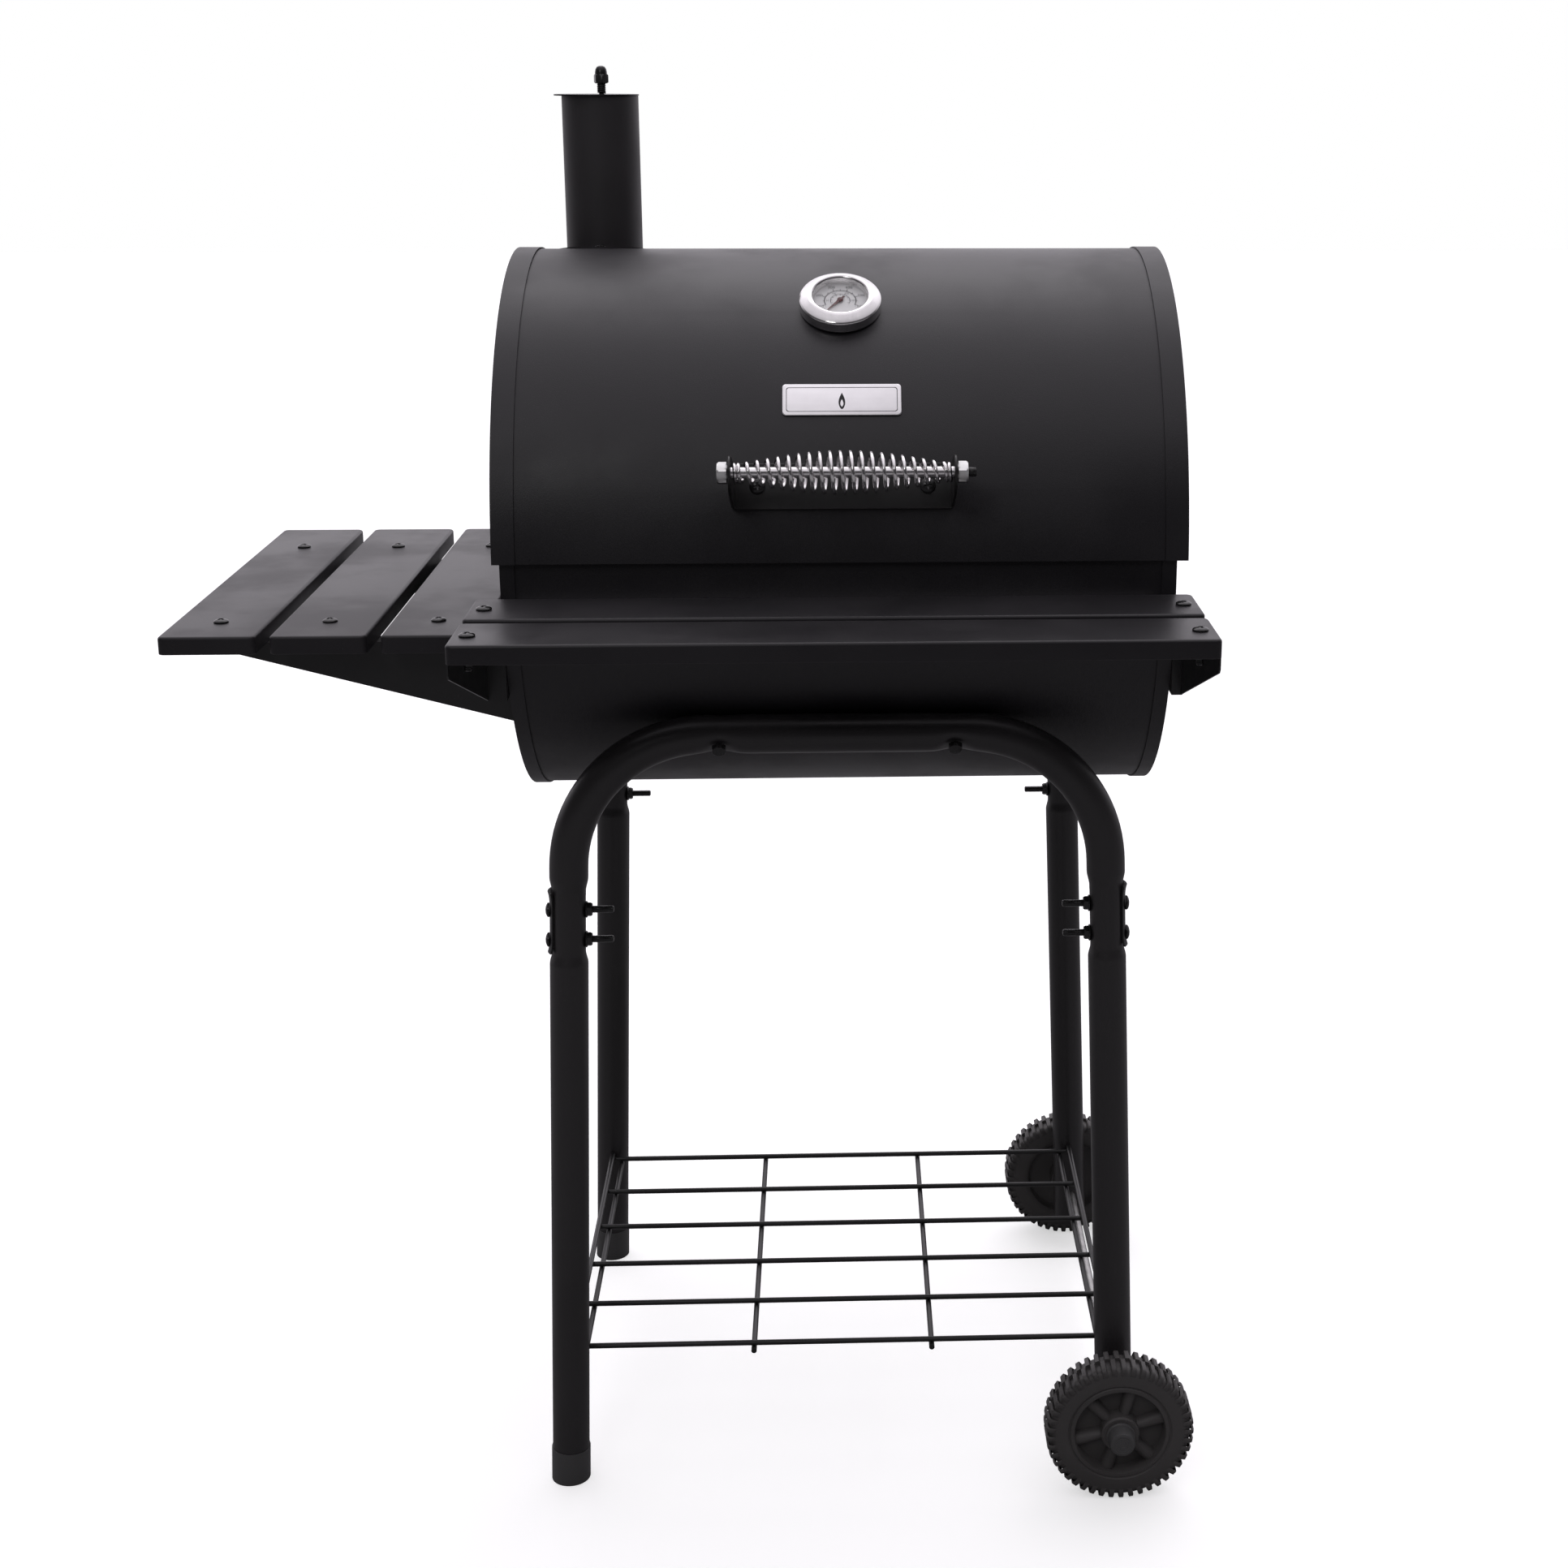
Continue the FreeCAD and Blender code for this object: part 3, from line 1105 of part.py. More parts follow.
def slat(name, x, y, top_z, length, width, height, bolts):
    """A shallow folded tray turned upside down: a padded block, hollowed from below, with bolt holes."""
    body = doc.addObject("PartDesign::Body", f"{name}_sheet")
    plane = [item for item in body.Origin.OriginFeatures if item.Role == "XY_Plane"][0]
    outline = body.newObject("Sketcher::SketchObject", f"{name}_outline")
    outline.AttachmentSupport = [(plane, "")]
    outline.MapMode = "FlatFace"
    sketch_lines(outline, [("0", "0"), (length, "0"), (length, width), ("0", width)])
    pad = body.newObject("PartDesign::Pad", f"{name}_pad")
    pad.Profile = outline
    bind(pad, Length=height)
    doc.recompute()
    full = pad.Shape.Volume
    edges = body.newObject("PartDesign::Fillet", f"{name}_folds")
    top = SIZES[height]
    folds = [f"Edge{i}" for i, edge in enumerate(pad.Shape.Edges, start=1)
             if edge.BoundBox.ZMax > top - 0.01]
    edges.Base = (pad, folds)
    bind(edges, Radius="fold_radius")
    hollow = body.newObject("Sketcher::SketchObject", f"{name}_hollow")
    hollow.AttachmentSupport = [(plane, "")]
    hollow.MapMode = "FlatFace"
    sketch_lines(hollow, [("sheet", "sheet"), (f"{length} - sheet", "sheet"),
                          (f"{length} - sheet", f"{width} - sheet"), ("sheet", f"{width} - sheet")])
    pocket = body.newObject("PartDesign::Pocket", f"{name}_pocket")
    pocket.Profile = hollow
    pocket.Reversed = True
    bind(pocket, Length=f"{height} - sheet")
    doc.recompute()
    if pocket.Shape.Volume > 0.5 * full:
        raise RuntimeError(f"{name}: the hollow was not cut")
    place(body, x, y, f"{top_z} - {height}")
    node(name, cut(body, *[hole(bx, by, top_z, UPRIGHT, LONG_DRILL) for bx, by in bolts]))


def front_bolt_places():
    for row, y in enumerate(("front_bolt_outer_y", "front_bolt_inner_y")):
        for side in (LEFT, RIGHT):
            yield row, f"{side} * front_bolt_x", y


def side_bolt_places():
    for column in range(3):
        for end in (FRONT, REAR):
            x = f"side_slat_x + side_slat_width / 2 + {column} * (side_slat_width + side_slat_gap)"
            yield column, x, f"side_bracket_middle_y + {end} * side_bracket_y"


def make_slats():
    for row, name in enumerate(("front_slat_outer", "front_slat_inner")):
        slat(name, "-front_slat_half_length", f"front_slat_y + {row} * (front_slat_width + front_slat_gap)",
             "front_slat_z", "2 * front_slat_half_length", "front_slat_width", "front_slat_height",
             [(x, y) for r, x, y in front_bolt_places() if r == row])
    for column, name in enumerate(("side_slat_outer", "side_slat_middle", "side_slat_inner")):
        slat(name, f"side_slat_x + {column} * (side_slat_width + side_slat_gap)", "side_slat_y",
             "side_slat_z", "side_slat_width", "side_slat_length", "side_slat_height",
             [(x, y) for c, x, y in side_bolt_places() if c == column])
    bolts = []
    for _, x, y in front_bolt_places():
        bolts.extend(bolt(x, y, "front_slat_z + 0.1", UPRIGHT, "front_slat_bolt_reach",
                          "front_slat_height + sheet + 1"))
    for _, x, y in side_bolt_places():
        bolts.extend(bolt(x, y, "side_slat_z + 0.1", UPRIGHT, "side_slat_bolt_reach",
                          "side_slat_height + sheet + 1"))
    node("slat_bolts", group(*bolts))


def cap_bolt_places():
    """Side, Y and Z of every bolt that holds a bracket to an end cap of the tub."""
    for side in (LEFT, RIGHT):
        for y in ("front_seat_bolt_y", "front_seat_bolt_y + seat_bolt_spacing"):
            yield side, y, "front_slat_z - front_slat_height - 14"
    for end in (FRONT, REAR):
        for z in ("side_bracket_root_z + 18", "side_bracket_root_z + 48"):
            yield LEFT, f"side_bracket_middle_y + {end} * side_bracket_y", z


def make_brackets():
    for side, name in ((LEFT, "left"), (RIGHT, "right")):
        node(f"front_bracket_{name}", front_bracket(side))
    for end, name in ((FRONT, "front"), (REAR, "rear")):
        node(f"side_bracket_{name}", side_bracket(end))
    bolts = []
    for side, y, z in cap_bolt_places():
        turn = ALONG_X if side == RIGHT else LEFTWARD
        seat = f"tub_x + {side} * (tub_half_length + 0.4 + sheet)"
        bolts.extend(bolt(seat, y, z, turn, "cap_bolt_reach", "2 * sheet + 0.8"))
    node("bracket_bolts", group(*bolts))


def front_bracket(side):
    """One folded piece: top flange under the slats, outer web, inward step, and plate on the end cap."""
    top = "(front_slat_z - front_slat_height - 0.2)"
    outer = "front_bracket_x"
    face = f"(tub_half_length + {side} * tub_x + 0.2)"
    flange_x = f"-{outer}" if side == LEFT else f"{outer} - front_bracket_flange"
    flange = block(flange_x, "front_bracket_front_y", f"{top} - sheet", "front_bracket_flange",
                   "front_bracket_jog_y - front_bracket_front_y - 12", "sheet")
    web = side_outline(
        [
            ("front_bracket_front_y", top),
            ("front_bracket_front_y", f"{top} - bracket_nose"),
            ("front_bracket_front_y + 3", f"{top} - bracket_nose - 3.5"),
            ("front_bracket_jog_y", f"{top} - front_bracket_root"),
            ("front_bracket_jog_y", top),
        ],
        f"-{outer}" if side == LEFT else f"{outer} - sheet", "sheet",
    )
    step_x = f"-{outer}" if side == LEFT else face
    step = block(step_x, "front_bracket_jog_y - sheet", f"{top} - front_bracket_root",
                 f"{outer} - {face}", "sheet", "front_bracket_root")
    seat = side_outline(
        [
            ("front_bracket_jog_y - sheet", top),
            ("front_bracket_jog_y - sheet", f"{top} - front_bracket_root"),
            ("front_seat_bolt_y + 4", f"{top} - front_bracket_root"),
            ("front_seat_bolt_y + 18", f"{top} - seat_strip_height"),
            ("front_seat_end_y", f"{top} - seat_strip_height"),
            ("front_seat_end_y", top),
        ],
        f"-({face}) - sheet" if side == LEFT else face, "sheet",
    )
    bolt_x = f"{side} * front_bolt_x"
    drills = [hole(bolt_x, y, top, UPRIGHT, DRILL) for _, x, y in front_bolt_places() if x == bolt_x]
    drills += [hole(f"{side} * {face}", y, z, ALONG_X, SHORT_DRILL) for s, y, z in cap_bolt_places()
               if s == side and "front_slat" in z]
    return cut(fuse(flange, web, step, seat), *drills)


def side_bracket(end):
    """A folded triangle: web across the end of the barrel, top flange under the slats, foot on the cap."""
    y = f"(side_bracket_middle_y + {end} * side_bracket_y)"
    top = "(side_slat_z - side_slat_height - 0.2)"
    face = "(tub_x - tub_half_length - 0.2)"
    near_y = f"{y} - side_bracket_flange / 2"
    web_y = near_y if end == FRONT else f"{y} + side_bracket_flange / 2 - sheet"
    web = front_outline(
        [
            ("side_bracket_tip_x", top),
            ("side_bracket_tip_x", f"{top} - side_bracket_tip_height"),
            (face, "side_bracket_root_z"),
            (face, top),
        ],
        web_y, "sheet",
    )
    flange = block("side_bracket_tip_x", near_y, f"{top} - sheet", f"{face} - side_bracket_tip_x",
                   "side_bracket_flange", "sheet")
    foot = block(f"{face} - sheet", near_y, "side_bracket_root_z", "sheet", "side_bracket_flange",
                 f"{top} - side_bracket_root_z")
    drills = [hole(x, by, top, UPRIGHT, DRILL) for _, x, by in side_bolt_places()
              if by == f"side_bracket_middle_y + {end} * side_bracket_y"]
    drills += [hole(face, by, z, ALONG_X, SHORT_DRILL) for _, by, z in cap_bolt_places()
               if "side_bracket" in z and f"+ {end} *" in by]
    return cut(fuse(web, flange, foot), *drills)


def main():
    make_tub()
    make_air_damper()
    make_ledges()
    make_cooking_grates()
    make_fire_grate()
    make_lid()
    make_hinges()
    make_chimney()
    make_springs()
    make_thermometer()
    make_badge()
    make_handle()
    make_leg_frames()
    make_leg_joints()
    make_feet()
    make_wheels()
    make_wire_shelf()
    make_slats()
    make_brackets()
    doc.recompute()
    for obj in doc.Objects:
        if "Invalid" in obj.State or "Error" in obj.State:
            raise RuntimeError(f"{obj.Name} ({obj.Label}) failed: {obj.State}")
    for obj in nodes:
        if obj.Shape.isNull() or not obj.Shape.isValid():
            raise RuntimeError(f"{obj.Label} has no valid shape")
        if not obj.Shape.Solids:
            raise RuntimeError(f"{obj.Label} has no solid")
    os.makedirs("parts", exist_ok=True)
    for obj in nodes:
        obj.Shape.exportStep(f"parts/{obj.Label}.step")
    print(len(nodes), "sub-parts, moved by", SIZES["origin_x"], SIZES["origin_y"])


main()
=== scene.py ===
import json
import math

import bmesh
import bpy
import numpy as np
from mathutils import Matrix, Vector


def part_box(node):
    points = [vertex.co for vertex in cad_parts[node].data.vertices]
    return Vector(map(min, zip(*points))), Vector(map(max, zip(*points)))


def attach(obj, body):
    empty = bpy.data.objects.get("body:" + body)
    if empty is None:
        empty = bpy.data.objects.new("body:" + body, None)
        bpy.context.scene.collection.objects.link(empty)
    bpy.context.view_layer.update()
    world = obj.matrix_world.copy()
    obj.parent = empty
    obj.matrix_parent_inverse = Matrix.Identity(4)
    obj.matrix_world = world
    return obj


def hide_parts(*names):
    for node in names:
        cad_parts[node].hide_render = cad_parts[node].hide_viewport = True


# Looks of a barrel charcoal grill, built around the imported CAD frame.  Shapes are worked out in
# millimetres about the middle of the four legs and are stored in metres in the frame's own axes.

MM = 0.001
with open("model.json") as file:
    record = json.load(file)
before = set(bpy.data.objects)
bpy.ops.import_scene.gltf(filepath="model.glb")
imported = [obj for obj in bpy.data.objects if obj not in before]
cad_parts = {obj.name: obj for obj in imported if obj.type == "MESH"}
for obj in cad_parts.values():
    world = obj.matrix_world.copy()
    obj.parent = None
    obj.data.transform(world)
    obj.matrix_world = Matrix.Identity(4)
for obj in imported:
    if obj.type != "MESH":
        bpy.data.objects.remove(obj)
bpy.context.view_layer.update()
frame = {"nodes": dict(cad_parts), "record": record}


def corners(node):
    """The low and high corners of a CAD node's box, in millimetres of the frame."""
    low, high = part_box(node)
    return np.array(low) / MM, np.array(high) / MM


def middle(node):
    low, high = corners(node)
    return (low + high) / 2


# The middle of the four legs, on the floor.
ORIGIN = np.array([
    (corners("upper_leg_front_left")[0][0] + corners("upper_leg_front_right")[1][0]) / 2,
    (middle("upper_leg_front_left")[1] + middle("upper_leg_rear_left")[1]) / 2,
    0.0,
])

# Height of the barrel's axis above the floor.
AXIS_Z = 815.0


def local(point):
    """A point of the frame, in millimetres, measured from the middle of the legs."""
    return np.asarray(point) - ORIGIN


# ---------------------------------------------------------------- mesh helpers


def grid_faces(rows, columns, wrap_columns):
    """Quads between neighbours of a grid of points numbered row by row."""
    last_column = columns if wrap_columns else columns - 1
    i, j = np.meshgrid(np.arange(rows - 1), np.arange(last_column), indexing="ij")
    here, below, beside = i * columns, (i + 1) * columns, (j + 1) % columns
    return np.stack([here + j, below + j, below + beside, here + beside], -1).reshape(-1, 4)


def surface(points, wrap_columns=False, cap_first=False, cap_last=False):
    """Vertices and faces of a grid of points, with a flat face over its first or last row if asked."""
    rows, columns = points.shape[:2]
    faces = [tuple(f) for f in grid_faces(rows, columns, wrap_columns)]
    if cap_first:
        faces.append(tuple(range(columns)))
    if cap_last:
        faces.append(tuple(reversed(range((rows - 1) * columns, rows * columns))))
    return points.reshape(-1, 3), faces


def joined(*parts):
    """Several vertex and face lists as one."""
    vertices, faces, start = [], [], 0
    for part_vertices, part_faces in parts:
        vertices.append(part_vertices)
        faces.extend(tuple(int(v) + start for v in face) for face in part_faces)
        start += len(part_vertices)
    return np.concatenate(vertices), faces


def piece(name, part, material, body, replaces=(), sharp=35.0, merge=0.001):
    """Makes an object from millimetres about the middle of the legs, and lets it ride on a body."""
    vertices, faces = part
    mesh = bpy.data.meshes.new(name)
    mesh.from_pydata(((vertices + ORIGIN) * MM).tolist(), [], faces)
    shape = bmesh.new()
    shape.from_mesh(mesh)
    bmesh.ops.remove_doubles(shape, verts=shape.verts, dist=merge * MM)
    bmesh.ops.recalc_face_normals(shape, faces=shape.faces)
    shape.to_mesh(mesh)
    shape.free()
    mesh.shade_smooth()
    mesh.set_sharp_from_angle(angle=math.radians(sharp))
    mesh.materials.append(MATERIALS[material])
    obj = bpy.data.objects.new(name, mesh)
    bpy.context.scene.collection.objects.link(obj)
    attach(obj, body)
    if replaces:
        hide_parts(*replaces)


def axes_of(out, across=(1.0, 0.0, 0.0)):
    """Three unit vectors, the last along out and the first as near to across as can be."""
    w = np.array(out, float)
    w /= np.linalg.norm(w)
    u = np.array(across, float) - w * np.dot(across, w)
    u /= np.linalg.norm(u)
    return np.stack([u, np.cross(w, u), w])


def placed(points, origin, axes):
    """Points given along three axes from an origin."""
    return np.asarray(origin) + points @ axes


def turned(profile, origin, axes, turns=64, cap_first=True, cap_last=True):
    """A surface of revolution: each (radius, height) of the profile goes round the third axis."""
    profile = np.asarray(profile, float)
    angle = np.linspace(0, 2 * np.pi, turns, endpoint=False)
    radius, height = profile[:, :1], profile[:, 1:]
    points = np.stack([radius * np.cos(angle), radius * np.sin(angle), height + 0 * angle], -1)
    vertices, faces = surface(points, wrap_columns=True, cap_first=cap_first, cap_last=cap_last)
    return placed(vertices, origin, axes), faces


def hexagonal(profile, origin, axes, turns=48):
    """A hexagon whose corners are cut by a turned profile: each radius is the lesser of the two."""
    profile = np.asarray(profile, float)
    flat = profile[:, 0].max() * math.cos(math.pi / 6)
    angle = np.linspace(0, 2 * np.pi, turns, endpoint=False)
    from_flat = (angle + np.pi / 6) % (np.pi / 3) - np.pi / 6
    radius = np.minimum(profile[:, :1], flat / np.cos(from_flat))
    points = np.stack([radius * np.cos(angle), radius * np.sin(angle), profile[:, 1:] + 0 * angle], -1)
    vertices, faces = surface(points, wrap_columns=True, cap_first=True, cap_last=True)
    return placed(vertices, origin, axes), faces


def swept(path, radius, sides, up):
    """A round tube: at each point of the path a circle square to it, whose radius may change on the way."""
    path = np.asarray(path, float)
    along = np.gradient(path, axis=0)
    along /= np.linalg.norm(along, axis=1, keepdims=True)
    first = np.cross(along, np.asarray(up, float))
    first /= np.linalg.norm(first, axis=1, keepdims=True)
    second = np.cross(along, first)
    angle = np.linspace(0, 2 * np.pi, sides, endpoint=False)
    radius = np.broadcast_to(np.asarray(radius, float), len(path))[:, None, None]
    ring = np.cos(angle)[None, :, None] * first[:, None] + np.sin(angle)[None, :, None] * second[:, None]
    return surface(path[:, None] + radius * ring, wrap_columns=True, cap_first=True, cap_last=True)


def rounded_rectangle(width, height, radius):
    """An outline of 24 points with round corners, about its own middle."""
    quarter = np.linspace(0, np.pi / 2, 6)
    runs = []
    for k, (sx, sy) in enumerate(((1, 1), (-1, 1), (-1, -1), (1, -1))):
        angle = quarter + k * np.pi / 2
        centre = np.array([sx * (width / 2 - radius), sy * (height / 2 - radius)])
        runs.append(centre + radius * np.stack([np.cos(angle), np.sin(angle)], -1))
    return np.concatenate(runs)


def level_points(loops):
    """A grid of points from outlines of equal length, each a (points, height) pair."""
    return np.stack([np.column_stack([loop, np.full(len(loop), height)]) for loop, height in loops])


def stack(loops, origin, axes):
    """A closed solid through outlines of equal length, each a (points, height) pair."""
    vertices, faces = surface(level_points(loops), wrap_columns=True, cap_first=True, cap_last=True)
    return placed(vertices, origin, axes), faces


def plate(outline, thickness, origin, axes, edge):
    """A flat plate of any outline, whose edges are slightly chamfered inwards."""
    outline = np.asarray(outline, float)
    before, after = np.roll(outline, 1, axis=0), np.roll(outline, -1, axis=0)
    side = after - before
    normal = np.column_stack([-side[:, 1], side[:, 0]])
    normal /= np.linalg.norm(normal, axis=1, keepdims=True)
    area = 0.5 * np.sum(outline[:, 0] * after[:, 1] - after[:, 0] * outline[:, 1])
    normal *= np.sign(area)
    shrunk = outline + normal * edge
    levels = [(shrunk, 0.0), (outline, edge), (outline, thickness - edge), (shrunk, thickness)]
    return stack(levels, origin, axes)


def round_corners(points, radius):
    """Replaces each corner of an outline by an arc-like curve that starts radius before it."""
    points = np.asarray(points, float)
    runs = []
    t = np.linspace(0, 1, 5)[:, None]
    for before, corner, after in zip(np.roll(points, 1, axis=0), points, np.roll(points, -1, axis=0)):
        first = (before - corner) / np.linalg.norm(before - corner)
        last = (after - corner) / np.linalg.norm(after - corner)
        reach = min(radius, 0.45 * np.linalg.norm(before - corner), 0.45 * np.linalg.norm(after - corner))
        start, end = corner + first * reach, corner + last * reach
        runs.append((1 - t) ** 2 * start + 2 * t * (1 - t) * corner + t ** 2 * end)
    return np.concatenate(runs)


# ---------------------------------------------------------------- material helpers


class Nodes:
    """Short calls for building a node tree."""

    def __init__(self, tree):
        self.tree = tree

    def add(self, kind, **settings):
        node = self.tree.nodes.new(kind)
        for name, value in settings.items():
            if name in node.bl_rna.properties:
                setattr(node, name, value)
            else:
                node.inputs[name.replace("_", " ")].default_value = value
        return node

    def link(self, source, target):
        self.tree.links.new(source, target)

    def math(self, operation, first, second=None):
        node = self.add("ShaderNodeMath", operation=operation)
        for socket, value in zip(node.inputs, (first, second)):
            if value is None:
                continue
            if isinstance(value, (int, float)):
                socket.default_value = value
            else:
                self.link(value, socket)
        return node.outputs[0]

    def ramp(self, source, low, high, to_low=0.0, to_high=1.0):
        node = self.add("ShaderNodeMapRange", interpolation_type="SMOOTHSTEP")
        self.link(source, node.inputs["Value"])
        for name, value in (("From Min", low), ("From Max", high), ("To Min", to_low), ("To Max", to_high)):
            node.inputs[name].default_value = value
        return node.outputs["Result"]

    def mix(self, factor, first, second):
        node = self.add("ShaderNodeMix", data_type="RGBA")
        for socket, value in ((node.inputs[0], factor), (node.inputs[6], first), (node.inputs[7], second)):
            if isinstance(value, (tuple, float, int)):
                socket.default_value = value
            else:
                self.link(value, socket)
        return node.outputs[2]


def new_group(name, inputs, outputs):
    """A shader node group with float inputs {name: default} and outputs {name: socket type}."""
    tree = bpy.data.node_groups.new(name, "ShaderNodeTree")
    for label, default in inputs.items():
        socket = tree.interface.new_socket(label, in_out="INPUT", socket_type="NodeSocketFloat")
        socket.default_value = default
    for label, kind in outputs.items():
        tree.interface.new_socket(label, in_out="OUTPUT", socket_type=kind)
    nodes = Nodes(tree)
    return tree, nodes, nodes.add("NodeGroupInput"), nodes.add("NodeGroupOutput")


def noise(nodes, vector, scale, detail=2.0, rough=0.5):
    node = nodes.add("ShaderNodeTexNoise", Detail=detail, Roughness=rough)
    nodes.link(vector, node.inputs["Vector"])
    if isinstance(scale, (int, float)):
        node.inputs["Scale"].default_value = scale
    else:
        nodes.link(scale, node.inputs["Scale"])
    return node.outputs["Fac"]


def make_coat_group():
    """Fine orange peel, slow clouding and sparse dust specks of a sprayed and baked coat."""
    tree, nodes, given, result = new_group(
        "sprayed coat",
        {"Peel Scale": 900.0, "Cloud Scale": 7.0, "Dust": 0.5},
        {"Height": "NodeSocketFloat", "Cloud": "NodeSocketFloat", "Dust": "NodeSocketFloat"},
    )
    where = nodes.add("ShaderNodeTexCoord").outputs["Object"]
    peel = noise(nodes, where, given.outputs["Peel Scale"], 3.0, 0.55)
    grit = noise(nodes, where, nodes.math("MULTIPLY", given.outputs["Peel Scale"], 2.7), 1.0)
    height = nodes.math("ADD", peel, nodes.math("MULTIPLY", grit, 0.45))
    cloud = noise(nodes, where, given.outputs["Cloud Scale"], 4.0, 0.6)
    patch = nodes.ramp(noise(nodes, where, 24.0, 3.0, 0.6), 0.45, 0.75)
    specks = nodes.ramp(noise(nodes, where, 1900.0, 1.0), 0.66, 0.78)
    dust = nodes.math("MULTIPLY", nodes.math("MULTIPLY", patch, specks), given.outputs["Dust"])
    nodes.link(height, result.inputs["Height"])
    nodes.link(nodes.ramp(cloud, 0.3, 0.7), result.inputs["Cloud"])
    nodes.link(dust, result.inputs["Dust"])
    return tree


def make_metal_group():
    """Fine scratches drawn out along one direction, with slow staining."""
    tree, nodes, given, result = new_group(
        "drawn metal",
        {"Scratch Scale": 400.0, "Stretch X": 0.04, "Stretch Y": 1.0, "Stretch Z": 1.0},
        {"Height": "NodeSocketFloat", "Stain": "NodeSocketFloat"},
    )
    where = nodes.add("ShaderNodeTexCoord").outputs["Object"]
    stretch = nodes.add("ShaderNodeCombineXYZ")
    for axis in "XYZ":
        nodes.link(given.outputs[f"Stretch {axis}"], stretch.inputs[axis])
    scaled = nodes.add("ShaderNodeVectorMath", operation="MULTIPLY")
    nodes.link(where, scaled.inputs[0])
    nodes.link(stretch.outputs[0], scaled.inputs[1])
    scratch = noise(nodes, scaled.outputs[0], given.outputs["Scratch Scale"], 4.0, 0.65)
    stain = nodes.ramp(noise(nodes, where, 60.0, 4.0, 0.6), 0.35, 0.7)
    nodes.link(scratch, result.inputs["Height"])
    nodes.link(stain, result.inputs["Stain"])
    return tree


COAT = make_coat_group()
METAL = make_metal_group()
COAT_SPAN = 0.06
METAL_SPAN = 0.05
SCRATCH_RELIEF = 0.01
DUST_TONE = (0.16, 0.155, 0.15, 1.0)


def begin(name, **constants):
    """A material with a Principled shader whose constant sockets are set directly."""
    material = bpy.data.materials.new(name)
    material.use_nodes = True
    nodes = Nodes(material.node_tree)
    shader = material.node_tree.nodes["Principled BSDF"]
    for label, value in constants.items():
        shader.inputs[label.replace("_", " ")].default_value = value
    return material, nodes, shader


def bump(nodes, shader, height, distance):
    node = nodes.add("ShaderNodeBump", Distance=distance * MM, Strength=1.0)
    nodes.link(height, node.inputs["Height"])
    nodes.link(node.outputs["Normal"], shader.inputs["Normal"])


def coated(name, dark, light, rough, peel, relief, dust=0.5, specular=0.5):
    """Painted or moulded: colour clouds between two tones, peel in the relief and a little dust."""
    material, nodes, shader = begin(name, Specular_IOR_Level=specular)
    coat = nodes.add("ShaderNodeGroup", node_tree=COAT)
    coat.inputs["Peel Scale"].default_value = peel
    coat.inputs["Dust"].default_value = dust
    tone = nodes.mix(coat.outputs["Cloud"], (*dark, 1.0), (*light, 1.0))
    dusty = nodes.mix(coat.outputs["Dust"], tone, DUST_TONE)
    nodes.link(dusty, shader.inputs["Base Color"])
    sheen = nodes.ramp(coat.outputs["Cloud"], 0.0, 1.0, rough - COAT_SPAN, rough + COAT_SPAN)
    dull = nodes.math("MULTIPLY", coat.outputs["Dust"], 0.3)
    nodes.link(nodes.math("ADD", sheen, dull), shader.inputs["Roughness"])
    bump(nodes, shader, coat.outputs["Height"], relief)
    return material


def bright(name, base, stained, rough, scale, stretch):
    """Bare or plated metal: drawn scratches in relief and roughness, with a slow stain in the colour."""
    material, nodes, shader = begin(name, Metallic=1.0)
    drawn = nodes.add("ShaderNodeGroup", node_tree=METAL)
    drawn.inputs["Scratch Scale"].default_value = scale
    for axis, amount in zip("XYZ", stretch):
        drawn.inputs[f"Stretch {axis}"].default_value = amount
    nodes.link(nodes.mix(drawn.outputs["Stain"], (*base, 1.0), (*stained, 1.0)), shader.inputs["Base Color"])
    sheen = nodes.ramp(drawn.outputs["Height"], 0.3, 0.7, rough - METAL_SPAN, rough + METAL_SPAN)
    nodes.link(sheen, shader.inputs["Roughness"])
    bump(nodes, shader, drawn.outputs["Height"], SCRATCH_RELIEF)
    return material


def grey(value, warm=0.0):
    """A grey tone, redder and less blue the warmer it is."""
    return (value * (1 + warm), value, value * (1 - warm * 0.5))


